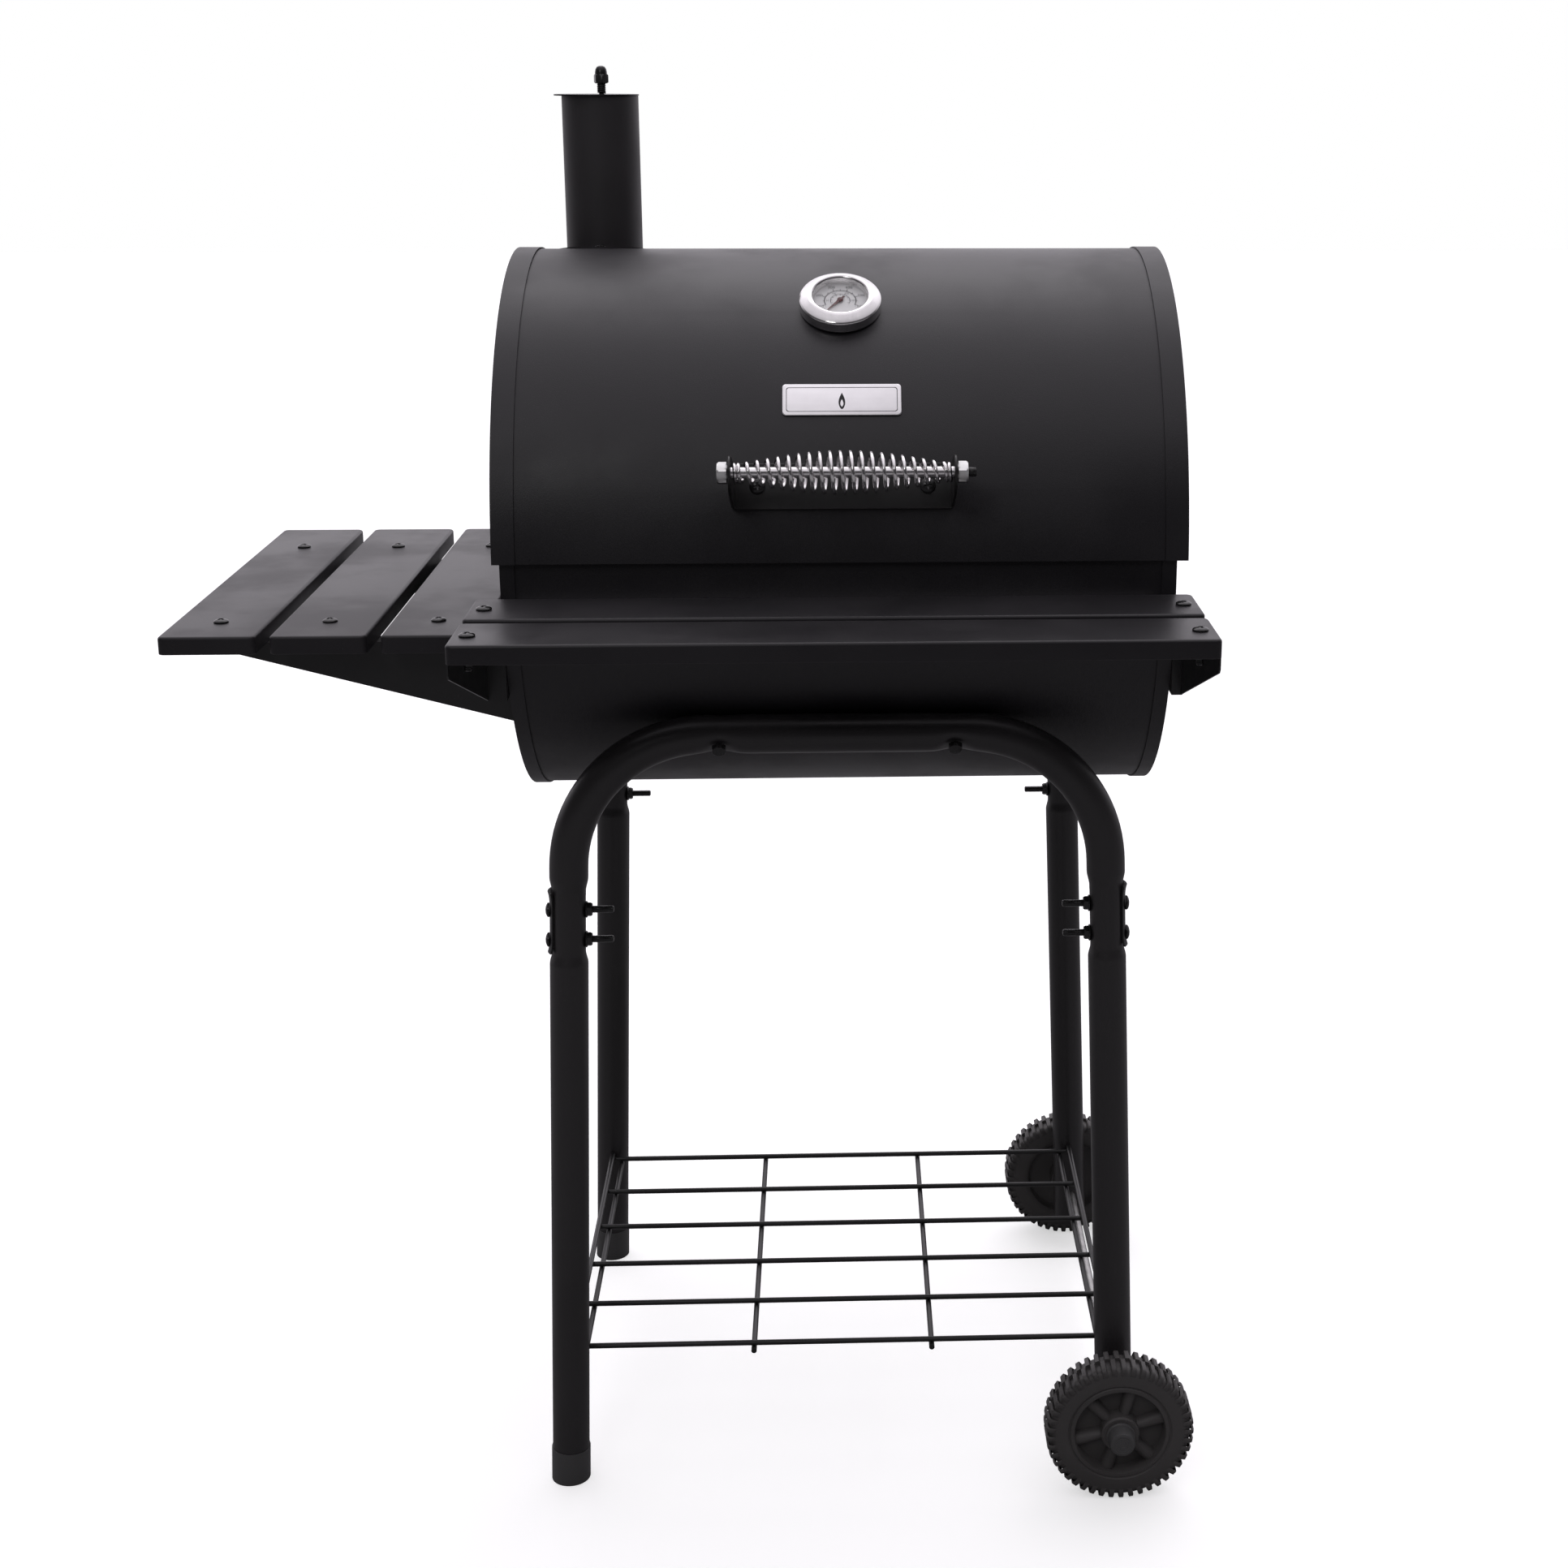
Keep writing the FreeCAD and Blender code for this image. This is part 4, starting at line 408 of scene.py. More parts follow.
def make_materials():
    made = [
        coated("barrel_paint", (0.0155, 0.0145, 0.0170), (0.0200, 0.0188, 0.0215),
               0.42, peel=1100.0, relief=0.085),
        coated("chimney_paint", (0.0320, 0.0298, 0.0322), (0.0390, 0.0365, 0.0395),
               0.5, peel=1100.0, relief=0.05),
        coated("shelf_paint", (0.0175, 0.0164, 0.0186), (0.0235, 0.0220, 0.0245),
               0.4, peel=1300.0, relief=0.045, specular=0.3),
        coated("leg_paint", (0.0240, 0.0225, 0.0235), (0.0300, 0.0280, 0.0295),
               0.38, peel=1300.0, relief=0.04),
        coated("bracket_paint", grey(0.012), grey(0.016), 0.34, peel=1300.0, relief=0.03),
        coated("wire_paint", grey(0.010), grey(0.014), 0.4, peel=1600.0, relief=0.02),
        coated("cap_plastic", grey(0.07), grey(0.085), 0.5, peel=2200.0, relief=0.012),
        coated("wheel_plastic", grey(0.062, 0.05), grey(0.078, 0.05),
               0.55, peel=2200.0, relief=0.015, dust=1.0),
        coated("fire_grate", grey(0.03, 0.1), grey(0.05, 0.15), 0.6, peel=1600.0, relief=0.03, dust=1.0),
        coated("black_bolt", grey(0.012), grey(0.018), 0.24, peel=1800.0, relief=0.01, dust=0.2),
        bright("zinc", (0.86, 0.87, 0.86), (0.74, 0.74, 0.71),
               0.33, scale=1500.0, stretch=(1.0, 1.0, 1.0)),
        bright("damper_steel", (0.05, 0.05, 0.05), (0.03, 0.03, 0.03),
               0.42, scale=900.0, stretch=(1.0, 1.0, 1.0)),
        bright("handle_steel", (0.93, 0.92, 0.92), (0.84, 0.82, 0.82),
               0.17, scale=900.0, stretch=(0.2, 1.0, 1.0)),
        bright("gauge_steel", (0.93, 0.92, 0.92), (0.86, 0.85, 0.85),
               0.2, scale=600.0, stretch=(1.0, 0.2, 0.2)),
        bright("badge_steel", (0.97, 0.96, 0.97), (0.93, 0.92, 0.93),
               0.42, scale=500.0, stretch=(0.03, 1.0, 1.0)),
        bright("grate", (0.6, 0.59, 0.57), (0.42, 0.4, 0.37),
               0.24, scale=900.0, stretch=(1.0, 1.0, 1.0)),
        bright("axle_steel", (0.5, 0.5, 0.49), (0.36, 0.36, 0.35),
               0.35, scale=900.0, stretch=(1.0, 0.1, 1.0)),
        coated("gauge_dial", grey(0.78), grey(0.84), 0.5, peel=2600.0, relief=0.004, dust=0.0),
        coated("gauge_mark", grey(0.02), grey(0.03), 0.6, peel=2600.0, relief=0.004, dust=0.0),
        coated("gauge_pointer", (0.08, 0.008, 0.008), (0.11, 0.012, 0.012),
               0.35, peel=2600.0, relief=0.004, dust=0.0),
    ]
    glass, nodes, shader = begin("gauge_glass", Transmission_Weight=1.0, Metallic=0.0, IOR=1.12, Alpha=0.25)
    coat = nodes.add("ShaderNodeGroup", node_tree=COAT)
    clear = nodes.mix(coat.outputs["Cloud"], (1.0, 1.0, 1.0, 1.0), (0.97, 0.98, 0.98, 1.0))
    nodes.link(clear, shader.inputs["Base Color"])
    nodes.link(nodes.ramp(coat.outputs["Cloud"], 0.0, 1.0, 0.01, 0.04), shader.inputs["Roughness"])
    made.append(glass)
    return {material.name: material for material in made}


for old in list(bpy.data.materials):
    old.name = f"packed {old.name}"
MATERIALS = make_materials()
for sub_part in frame["record"]["subparts"]:
    data = frame["nodes"][sub_part["node"]].data
    data.materials.clear()
    data.materials.append(MATERIALS[sub_part["material_slot"]])

# ---------------------------------------------------------------- wheels

WHEEL_RADIUS = (corners("wheel_front")[1][2] - corners("wheel_front")[0][2]) / 2
HUB_HALF = (corners("wheel_front")[1][1] - corners("wheel_front")[0][1]) / 2
AXLE_RADIUS = (corners("axle")[1][2] - corners("axle")[0][2]) / 2
TREAD_HALF = 15.4
SPOKE_START = 15.5
SPOKE_END = 39.2
LUG_COUNT = 45
SPOKE_COUNT = 6


def wheel_solid(axes, centre):
    """A moulded wheel: one turned profile for tyre, rim, dish and hub, the third axis pointing outwards."""
    bore = AXLE_RADIUS + 0.06
    outside = [
        (bore, HUB_HALF), (15.0, HUB_HALF), (16.4, HUB_HALF - 1.4), (16.6, 3.0), (38.0, 2.4), (38.6, 3.4),
        (38.8, 12.6), (39.6, 14.2), (42.6, 14.2), (43.4, 13.2), (44.4, 13.4), (45.2, 14.3), (55.5, 14.6),
        (58.2, 13.6), (60.4, 11.6), (60.9, 9.0),
    ]
    inside = [
        (60.9, -9.0), (60.4, -11.6), (58.2, -13.6), (55.5, -14.6), (45.2, -14.3), (42.0, -13.8),
        (40.2, -12.0), (39.6, -4.0), (38.4, -2.6), (17.2, -2.6), (16.4, -4.0), (16.0, -HUB_HALF + 1.0),
        (15.0, -HUB_HALF), (bore, -HUB_HALF),
    ]
    profile = np.array(outside + inside + outside[:1])
    return turned(profile, centre, axes, turns=120, cap_first=False, cap_last=False)


def tread_lugs(axes, centre):
    """Two offset rows of raised blocks that wrap over the tyre's shoulders."""
    pitch = 2 * np.pi / LUG_COUNT
    path = np.array([(54.5, 14.4), (57.5, 15.35), (60.8, TREAD_HALF), (63.0, 14.2), (WHEEL_RADIUS, 12.0),
                     (WHEEL_RADIUS, 0.6), (60.0, 0.4)])
    across = np.array([-0.27, -0.2, 0.2, 0.27]) * pitch
    sink = np.array([1.6, 0.0, 0.0, 1.6])
    parts = []
    for row, side in enumerate((1.0, -1.0)):
        for k in range(LUG_COUNT):
            angle = (k + 0.5 * row) * pitch + across
            radius = path[:, :1] - sink
            height = side * (path[:, 1:] - 0.25 * sink) + 0 * angle
            points = np.stack([radius * np.cos(angle), radius * np.sin(angle), height], -1)
            vertices, faces = surface(points)
            parts.append((placed(vertices, centre, axes), faces))
    return joined(*parts)


def wheel_spokes(axes, centre):
    """Rounded ribs from the hub to the rim, wider and lower towards the rim, standing on the dish."""
    along = np.linspace(SPOKE_START, SPOKE_END, 12)[:, None]
    across = np.linspace(0, np.pi, 13)[None, :]
    part = (along - SPOKE_START) / (SPOKE_END - SPOKE_START)
    half_width = 4.6 + 1.6 * part
    rise = 9.6 - 1.2 * part
    parts = []
    for k in range(SPOKE_COUNT):
        turn = 2 * np.pi * (k + 0.25) / SPOKE_COUNT
        side = half_width * np.cos(across)
        points = np.stack([
            along * math.cos(turn) - side * math.sin(turn),
            along * math.sin(turn) + side * math.cos(turn),
            2.0 + rise * np.sin(across) ** 0.7,
        ], -1)
        parts.append(surface(points))
    vertices, faces = joined(*parts)
    return placed(vertices, centre, axes), faces


def make_wheels():
    for name, side in (("front", -1.0), ("rear", 1.0)):
        node = f"wheel_{name}"
        centre = local(middle(node))
        axes = axes_of((0.0, side, 0.0))
        moulding = joined(wheel_solid(axes, centre), wheel_spokes(axes, centre))
        piece(f"{node}_moulding", moulding, "wheel_plastic", node, replaces=[node], sharp=40.0)
        piece(f"{node}_tread", tread_lugs(axes, centre), "wheel_plastic", node, sharp=40.0)


def make_axle_caps():
    """Turned plastic caps with faint rings on the end, one on each end of the axle."""
    low, high = corners("axle_caps")
    reach = (high[1] - low[1]) / 2
    axle_x = local(middle("axle_caps"))[0]
    hub_face = local(corners("wheel_rear")[1])[1] + 0.3
    length = reach - hub_face
    rings = [(r, length - 0.25 * (k % 2)) for k, r in enumerate(np.linspace(7.8, 0.6, 9))]
    profile = [(AXLE_RADIUS + 0.1, 0.0), (12.2, 0.0), (12.3, 1.4), (11.3, 2.2), (11.0, length - 2.6),
               (10.3, length - 0.7), (8.8, length)] + rings
    parts = []
    for side in (-1.0, 1.0):
        centre = np.array([axle_x, side * hub_face, WHEEL_RADIUS])
        parts.append(turned(profile, centre, axes_of((0.0, side, 0.0)), turns=48, cap_first=False))
    piece("axle_cap_pair", joined(*parts), "cap_plastic", "stand", replaces=["axle_caps"],
          sharp=30.0)


# ---------------------------------------------------------------- legs

TUBE_RADIUS = (corners("upper_leg_front_left")[1][1] - corners("upper_leg_front_left")[0][1]) / 2
RAIL_Z = corners("upper_leg_front_left")[1][2] - TUBE_RADIUS
LEG_Y = local(middle("upper_leg_rear_left"))[1]
SEAM_X = local(corners("upper_leg_front_left")[1])[0]
BEND_RADIUS = 115.0
SPLAY = math.radians(2.0)
LEG_X_AT_600 = 219.0
NECK_RADIUS = 13.8
SLEEVE_TOP = corners("lower_leg_front_left")[1][2]
FRAME_BOLT_X = 95.0
NECK_LENGTH = 13.0
LOWER_NECK_END = 493.0
DENT_ACROSS = 0.55
DENT_DOWN = 0.835


def leg_x(z):
    return LEG_X_AT_600 + math.tan(SPLAY) * (600.0 - z)


def leg_path(side, y):
    """Rail from the seam, a bend of a little under a quarter turn, and a straight down to the sleeve."""
    turn = np.linspace(0, math.pi / 2 - SPLAY, 28)
    bend_z = RAIL_Z - BEND_RADIUS + BEND_RADIUS * math.sin(SPLAY)
    bend_x = leg_x(bend_z) - BEND_RADIUS * math.cos(SPLAY)
    seam = SEAM_X * side
    rail_x = np.linspace(seam, bend_x, 46)[:-1]
    arc_x = bend_x + BEND_RADIUS * np.sin(turn)
    arc = np.column_stack([arc_x, RAIL_Z - BEND_RADIUS + BEND_RADIUS * np.cos(turn)])
    down_z = np.linspace(bend_z, SLEEVE_TOP - 3.0, 30)[1:]
    straight = np.column_stack([[leg_x(z) for z in down_z], down_z])
    flat = np.concatenate([np.column_stack([rail_x, np.full(len(rail_x), RAIL_Z)]), arc, straight])
    return np.column_stack([side * flat[:, 0], np.full(len(flat), y), flat[:, 1]])


def eased(value):
    """Rises smoothly from 0 to 1 as the value does, and stays level outside."""
    value = np.clip(value, 0, 1)
    return value * value * (3 - 2 * value)


def dented(part, spots):
    """Presses a shallow round dent into a part at each (centre, direction, depth, width)."""
    vertices, faces = part
    for centre, direction, depth, width in spots:
        away = vertices - centre
        facing = np.clip(away @ -direction / (np.linalg.norm(away, axis=1) + 1e-6) + 1.4, 0, 1)
        dent = depth * np.exp(-(np.sum(away ** 2, axis=1)) / width ** 2) * facing
        vertices = vertices + dent[:, None] * direction
    return vertices, faces


def rail_dents(side, end):
    """Three dents round a rail's bolt, each a (centre, direction, depth, width)."""
    rail = np.array([side * FRAME_BOLT_X, end * LEG_Y, RAIL_Z])
    spots = []
    for turn, depth in ((0.0, 3.6), (-1.15, 2.2)):
        c, s = math.cos(turn), math.sin(turn)
        out = np.array([0.0, end * (DENT_ACROSS * c - DENT_DOWN * s), DENT_ACROSS * s - DENT_DOWN * c])
        out /= np.linalg.norm(out)
        spots.append((rail + out * TUBE_RADIUS, -out, depth, 11.0))
    tub_side = np.array([0.0, -end * 0.62, 0.785])
    spots.append((rail + tub_side * TUBE_RADIUS, -tub_side, 1.2, 12.0))
    return spots


def upper_tube(side, end):
    """A dented rail and bend whose radius eases down to the neck just above the sleeve."""
    path = leg_path(side, end * LEG_Y)
    down = np.abs(path[:, 0]) > 200
    neck = eased((SLEEVE_TOP + NECK_LENGTH - path[:, 2]) / NECK_LENGTH) * down
    radius = TUBE_RADIUS - (TUBE_RADIUS - NECK_RADIUS - 0.1) * neck
    return dented(swept(path, radius, sides=40, up=(0.0, 1.0, 0.0)), rail_dents(side, end))


def lower_tube(side, end, bottom):
    """A straight tube that starts with the neck's radius and eases out to the full one."""
    z = np.concatenate([np.linspace(SLEEVE_TOP, 494.0, 12), np.linspace(LOWER_NECK_END, 480.0, 14),
                        np.linspace(478.0, bottom, 24)])
    radius = NECK_RADIUS + (TUBE_RADIUS - NECK_RADIUS) * eased((LOWER_NECK_END - z) / 11.0)
    path = np.column_stack([side * np.array([leg_x(v) for v in z]), np.full(len(z), end * LEG_Y), z])
    return swept(path, radius, sides=40, up=(0.0, 1.0, 0.0))


def make_legs():
    paint = "leg_paint"
    for end, end_name in ((-1.0, "front"), (1.0, "rear")):
        for side, side_name in ((-1.0, "left"), (1.0, "right")):
            which = f"{end_name}_{side_name}"
            piece(f"upper_tube_{which}", upper_tube(side, end), paint, "stand",
                  replaces=[f"upper_leg_{which}"], sharp=50.0)
            bottom = corners(f"lower_leg_{which}")[0][2] + 0.6
            piece(f"lower_tube_{which}", lower_tube(side, end, bottom), paint, "stand",
                  replaces=[f"lower_leg_{which}"], sharp=50.0)


# ---------------------------------------------------------------- bolts

SCREW_SHARP = 28.0
FRONT_SCREW_ROWS = (-372.0, -287.0)
FRONT_SCREW_X = 265.0
SIDE_SLATS = ("side_slat_outer", "side_slat_middle", "side_slat_inner")
SIDE_BRACKET_MIDDLE = -7.5
SIDE_BRACKET_HALF = 152.5
HEAD_LIFT = 0.05
SLAT_HEIGHT = corners("front_slat_outer")[1][2] - corners("front_slat_outer")[0][2]
SLAT_NUT_DROP = SLAT_HEIGHT + 1.4
SLAT_THREAD_DROP = SLAT_HEIGHT + 4.0
JOINT_SCREW_HEIGHTS = (529.0, 503.0)


def screw_head(origin, axes, radius=6.0, height=3.0, turns=48, rings=18):
    """A truss head: a dome on a disc, with a cross pressed in where |x| or |y| is under the blade."""
    part = np.linspace(0.0, 1.0, rings)[:, None]
    angle = np.linspace(0, 2 * np.pi, turns, endpoint=False)[None, :]
    x, y = radius * part * np.cos(angle), radius * part * np.sin(angle)
    dome = height * np.sqrt(np.clip(1 - 0.86 * part ** 2, 0, 1)) + 0 * angle
    blade, reach = 0.13 * radius, 0.52 * radius
    in_cross = ((np.abs(x) < blade) & (np.abs(y) < reach)) | ((np.abs(y) < blade) & (np.abs(x) < reach))
    depth = 0.55 * height * in_cross * np.clip(1.3 - np.hypot(x, y) / reach, 0.2, 1)
    top = np.stack([x, y, dome - depth], -1)
    skirt = np.stack([x[-1], y[-1], 0 * x[-1]], -1)[None]
    rows = np.concatenate([top[1:], skirt])
    vertices, faces = surface(rows, wrap_columns=True, cap_first=True, cap_last=True)
    return placed(vertices, origin, axes), faces


def hex_head(origin, axes, radius, height):
    """A hexagon with turned chamfers and a slightly domed end."""
    profile = [(radius, 0.0), (radius, height * 0.72), (radius * 0.86, height * 0.95), (radius * 0.5, height),
               (radius * 0.05, height * 1.02)]
    return hexagonal(profile, origin, axes)


def flange_nut(origin, axes, radius=6.3, height=5.2):
    """A hexagon nut on a round flange."""
    rim = [(radius * 1.05, 0.0), (radius * 1.12, 0.5), (radius, 1.3), (radius * 0.4, 1.5)]
    body = [(radius * 0.95, 1.0), (radius * 0.95, height * 0.75), (radius * 0.8, height),
            (radius * 0.45, height)]
    return joined(turned(rim, origin, axes, 32), hexagonal(body, origin, axes))


def threaded_end(origin, axes, length, radius=3.0, pitch=1.0):
    """A shank with a saw-toothed profile: the radius rises and falls once in each pitch."""
    count = int(length / pitch * 4)
    height = np.linspace(0, length, count)
    tooth = 0.3 * np.abs((height / pitch) % 1.0 - 0.5) * 2
    shape = np.column_stack([radius - tooth, height])
    shape[-3:, 0] -= np.array([0.2, 0.5, 0.9])
    return turned(shape, origin, axes, 20)


def stand_screws(name, parts, node):
    piece(name, joined(*parts), "black_bolt", "stand", replaces=[node], sharp=SCREW_SHARP)


def under_slat(spot, length):
    """The nut below a slat's screw, and the end of that screw's thread."""
    down = axes_of((0, 0, -1))
    return [flange_nut(spot - (0, 0, SLAT_NUT_DROP), down),
            threaded_end(spot - (0, 0, SLAT_THREAD_DROP), down, length)]


def make_slat_screws():
    """Screws down through the slats: four in the front shelf and six in the side shelf."""
    up = (0, 0, 1)
    heads, nuts = [], []
    slat_top = corners("front_slat_outer")[1][2]
    for y in FRONT_SCREW_ROWS:
        for side in (-1.0, 1.0):
            spot = np.array([side * FRONT_SCREW_X, y, slat_top + HEAD_LIFT])
            heads.append(screw_head(spot, axes_of(up, (1, 0.4 * side, 0))))
            nuts += under_slat(spot, 7.4)
    for node in SIDE_SLATS:
        low, high = corners(node)
        for offset in (-1.0, 1.0):
            spot = local(np.array([(low[0] + high[0]) / 2, 0, high[2] + HEAD_LIFT]))
            spot[1] = SIDE_BRACKET_MIDDLE + offset * SIDE_BRACKET_HALF
            heads.append(screw_head(spot, axes_of(up, (1, 0.7 * offset, 0))))
            nuts += under_slat(spot, 5.4)
    stand_screws("slat_screws", heads + nuts, "slat_bolts")


def make_frame_screws():
    """A hexagon bolt through each rail, square to the barrel, and a screw above it."""
    parts = []
    for end in (-1.0, 1.0):
        out = np.array([0.0, end * LEG_Y, RAIL_Z - AXIS_Z])
        out /= np.linalg.norm(out)
        upper = np.array([0.0, end * 0.8, 0.6])
        for side in (-1.0, 1.0):
            rail = np.array([side * FRAME_BOLT_X, end * LEG_Y, RAIL_Z])
            parts.append(hex_head(rail + out * (TUBE_RADIUS - 1.6), axes_of(out), 6.2, 4.4))
            parts.append(flange_nut(rail - out * (TUBE_RADIUS + 2.0), axes_of(-out)))
            parts.append(threaded_end(rail - out * (TUBE_RADIUS + 6.0), axes_of(-out), 7.6))
            parts.append(screw_head(rail + upper * (TUBE_RADIUS - 2.6), axes_of(upper), 5.0, 2.2))
    stand_screws("frame_screws", parts, "leg_frame_bolts")


def make_joint_screws():
    """Two long screws through each leg's neck, with nuts on the inner side."""
    parts = []
    for end in (-1.0, 1.0):
        for side in (-1.0, 1.0):
            out = np.array([side, 0.0, 0.0])
            inward = axes_of(-out, (0, 1, 0))
            for z in JOINT_SCREW_HEIGHTS:
                centre = np.array([side * leg_x(z), end * LEG_Y, z])
                head = centre + out * (NECK_RADIUS + 2.2)
                parts.append(screw_head(head, axes_of(out, (0, 1, 0.3)), 6.0, 3.2))
                parts.append(flange_nut(centre - out * (NECK_RADIUS + 0.1), inward))
                parts.append(threaded_end(centre - out * (NECK_RADIUS + 4.5), inward, 18.4))
    stand_screws("joint_screws", parts, "leg_joint_bolts")


def make_rail_seams():
    """The dark joint line round each rail, where one tube slides over the other one's end.

    Known fault: axes_of is given X, which is also its default second direction, so it divides zero
    by zero.  The rings' points are undefined and nothing shows.  A second direction along Y is needed.
    """
    inner, outer, half = TUBE_RADIUS - 1.0, TUBE_RADIUS + 0.12, 0.45
    band = [(inner, -half), (outer, -half), (outer, half), (inner, half), (inner, -half)]
    rings = []
    for end in (-1.0, 1.0):
        place = (SEAM_X, end * LEG_Y, RAIL_Z)
        rings.append(turned(band, place, axes_of((1.0, 0.0, 0.0)), 48, cap_first=False, cap_last=False))
    piece("rail_seams", joined(*rings), "bracket_paint", "stand")


PLATE_LOW = 493.5
PLATE_HIGH = 546.0
PLATE_SKINS = (2.05, 0.35)


def make_joint_plates():
    """Bent washers on the necks: an arc across the tube and a long arc down it, whose ends flare outwards."""
    parts = []
    z = np.linspace(PLATE_LOW, PLATE_HIGH, 30)[:, None]
    across = np.linspace(-0.62, 0.62, 14)[None, :]
    flare = 1.7 * np.abs((z - (PLATE_LOW + PLATE_HIGH) / 2) / ((PLATE_HIGH - PLATE_LOW) / 2)) ** 5
    centre = np.array([[leg_x(v)] for v in z[:, 0]])
    for end in (-1.0, 1.0):
        for side in (-1.0, 1.0):
            skins = []
            for lift in PLATE_SKINS:
                radius = NECK_RADIUS + lift + flare - 0.1
                x = side * (centre + radius * np.cos(across))
                y = end * LEG_Y + radius * np.sin(across)
                skins.append(np.stack([x, y, z + 0 * across], -1))
            outer, inner = skins
            loop = np.concatenate([outer, inner[:, ::-1]], axis=1)
            parts.append(surface(loop, wrap_columns=True, cap_first=True, cap_last=True))
    piece("joint_washers", joined(*parts), "bracket_paint", "stand", replaces=["leg_joint_plates"])


# ---------------------------------------------------------------- shelves

SLAT_FOLD = 2.4
SLAT_SKIN = 1.2


def make_slats():
    """Folded slats: rounded rectangles stacked up the lip, over the fold, and back down the inside."""
    for node in ("front_slat_outer", "front_slat_inner") + SIDE_SLATS:
        low, high = corners(node)
        wide, deep, tall = high - low
        inside = [(SLAT_SKIN + 0.6, tall - SLAT_SKIN), (SLAT_SKIN, tall - SLAT_SKIN - 0.8), (SLAT_SKIN, 0.3),
                  (0.9, 0.0)]
        lip = [(0.35, 0.0), (0.0, 0.3)]
        fold = [(SLAT_FOLD * (1 - math.cos(t)), tall - SLAT_FOLD * (1 - math.sin(t)))
                for t in np.linspace(0, np.pi / 2, 7)]
        loops = [(rounded_rectangle(wide - 2 * i, deep - 2 * i, 5.0 - i * 0.8), h)
                 for i, h in inside + lip + fold]
        origin = local(np.array([(low[0] + high[0]) / 2, (low[1] + high[1]) / 2, low[2]]))
        piece(f"{node}_tray", stack(loops, origin, axes_of((0, 0, 1))), "shelf_paint", "stand",
              replaces=[node], sharp=40.0)


# ---------------------------------------------------------------- chimney screw

ACORN_HEIGHT = 14.6
SPRING_TURNS = 5.5
SPRING_WIRE = 0.75


def make_damper_screw():
    """An acorn nut on a screw, and the small spring that presses the damper down."""
    low, high = corners("damper_screw")
    x, y, _ = local((low + high) / 2)
    up = axes_of((0.0, 0.0, 1.0), (1.0, 0.35, 0.0))
    foot = (x, y, high[2] - ACORN_HEIGHT)
    nut = hexagonal([(5.0, 0.0), (6.4, 0.8), (6.4, 6.6), (5.4, 7.6)], foot, up)
    crown = turned([(5.2, 6.8), (5.1, 9.4), (4.6, 11.8), (3.4, 13.6), (1.8, 14.4), (0.05, ACORN_HEIGHT)],
                   foot, up, 36)
    shank = threaded_end((x, y, low[2]), up, high[2] - 12.0 - low[2], 2.4, 0.9)
    piece("damper_acorn_screw", joined(nut, crown, shank), "black_bolt", "lid",
          replaces=["damper_screw"], sharp=SCREW_SHARP)
    low, high = corners("damper_spring")
    part = np.linspace(0, 1, int(SPRING_TURNS * 30))
    angle = 2 * np.pi * SPRING_TURNS * part
    radius = (high[0] - low[0]) / 2 - SPRING_WIRE
    height = low[2] + SPRING_WIRE + (high[2] - low[2] - 2 * SPRING_WIRE) * part
    path = np.column_stack([x + radius * np.cos(angle), y + radius * np.sin(angle), height])
    piece("damper_coil_spring", swept(path, SPRING_WIRE, sides=10, up=(0.0, 0.0, 1.0)),
          "black_bolt", "lid", replaces=["damper_spring"])


# ---------------------------------------------------------------- lid fittings

LID_RADIUS = (corners("lid_shell")[1][1] - corners("lid_shell")[0][1]) / 2


def lid_frame(tilt):
    """Axes whose third points out of the lid at a tilt from upright, the second up along the lid."""
    return axes_of((0.0, -math.sin(tilt), math.cos(tilt)), (1.0, 0.0, 0.0))


def lid_point(x, tilt, lift):
    """A point at a lift above the lid's outside, at a tilt from upright towards the front."""
    return np.array([x, -(LID_RADIUS + lift) * math.sin(tilt), AXIS_Z + (LID_RADIUS + lift) * math.cos(tilt)])


GAUGE_TILT = math.radians(32.5)
GAUGE_AXES = lid_frame(GAUGE_TILT)
GAUGE_PLACE = lid_point(5.5, GAUGE_TILT, 0.3)
DIAL_HEIGHT = 6.4
MARK_HEIGHT = DIAL_HEIGHT + 0.06
SCALE_START = math.radians(205)
SCALE_END = math.radians(-25)
OUTER_SCALE = 12.6
INNER_SCALE = 7.8
NEEDLE_ANGLE = math.radians(232)


def arc_band(radius, width, turns=48):
    """A flat band round the dial's scale, standing very slightly above the dial."""
    angle = np.linspace(SCALE_START, SCALE_END, turns)[None, :]
    edge = np.array([radius - width / 2, radius + width / 2])[:, None]
    points = np.stack([edge * np.cos(angle), edge * np.sin(angle), np.full((2, turns), MARK_HEIGHT)], -1)
    return surface(points)


def scale_angle(step, steps):
    return SCALE_START + (SCALE_END - SCALE_START) * step / steps


def tick(angle, inner, outer, width):
    """A thin flat rectangle along a radius of the dial."""
    direction = np.array([math.cos(angle), math.sin(angle)])
    side = np.array([-direction[1], direction[0]]) * width / 2
    flat = [direction * inner - side, direction * outer - side, direction * outer + side,
            direction * inner + side]
    return np.array([(*p, MARK_HEIGHT) for p in flat]), [(0, 1, 2, 3)]


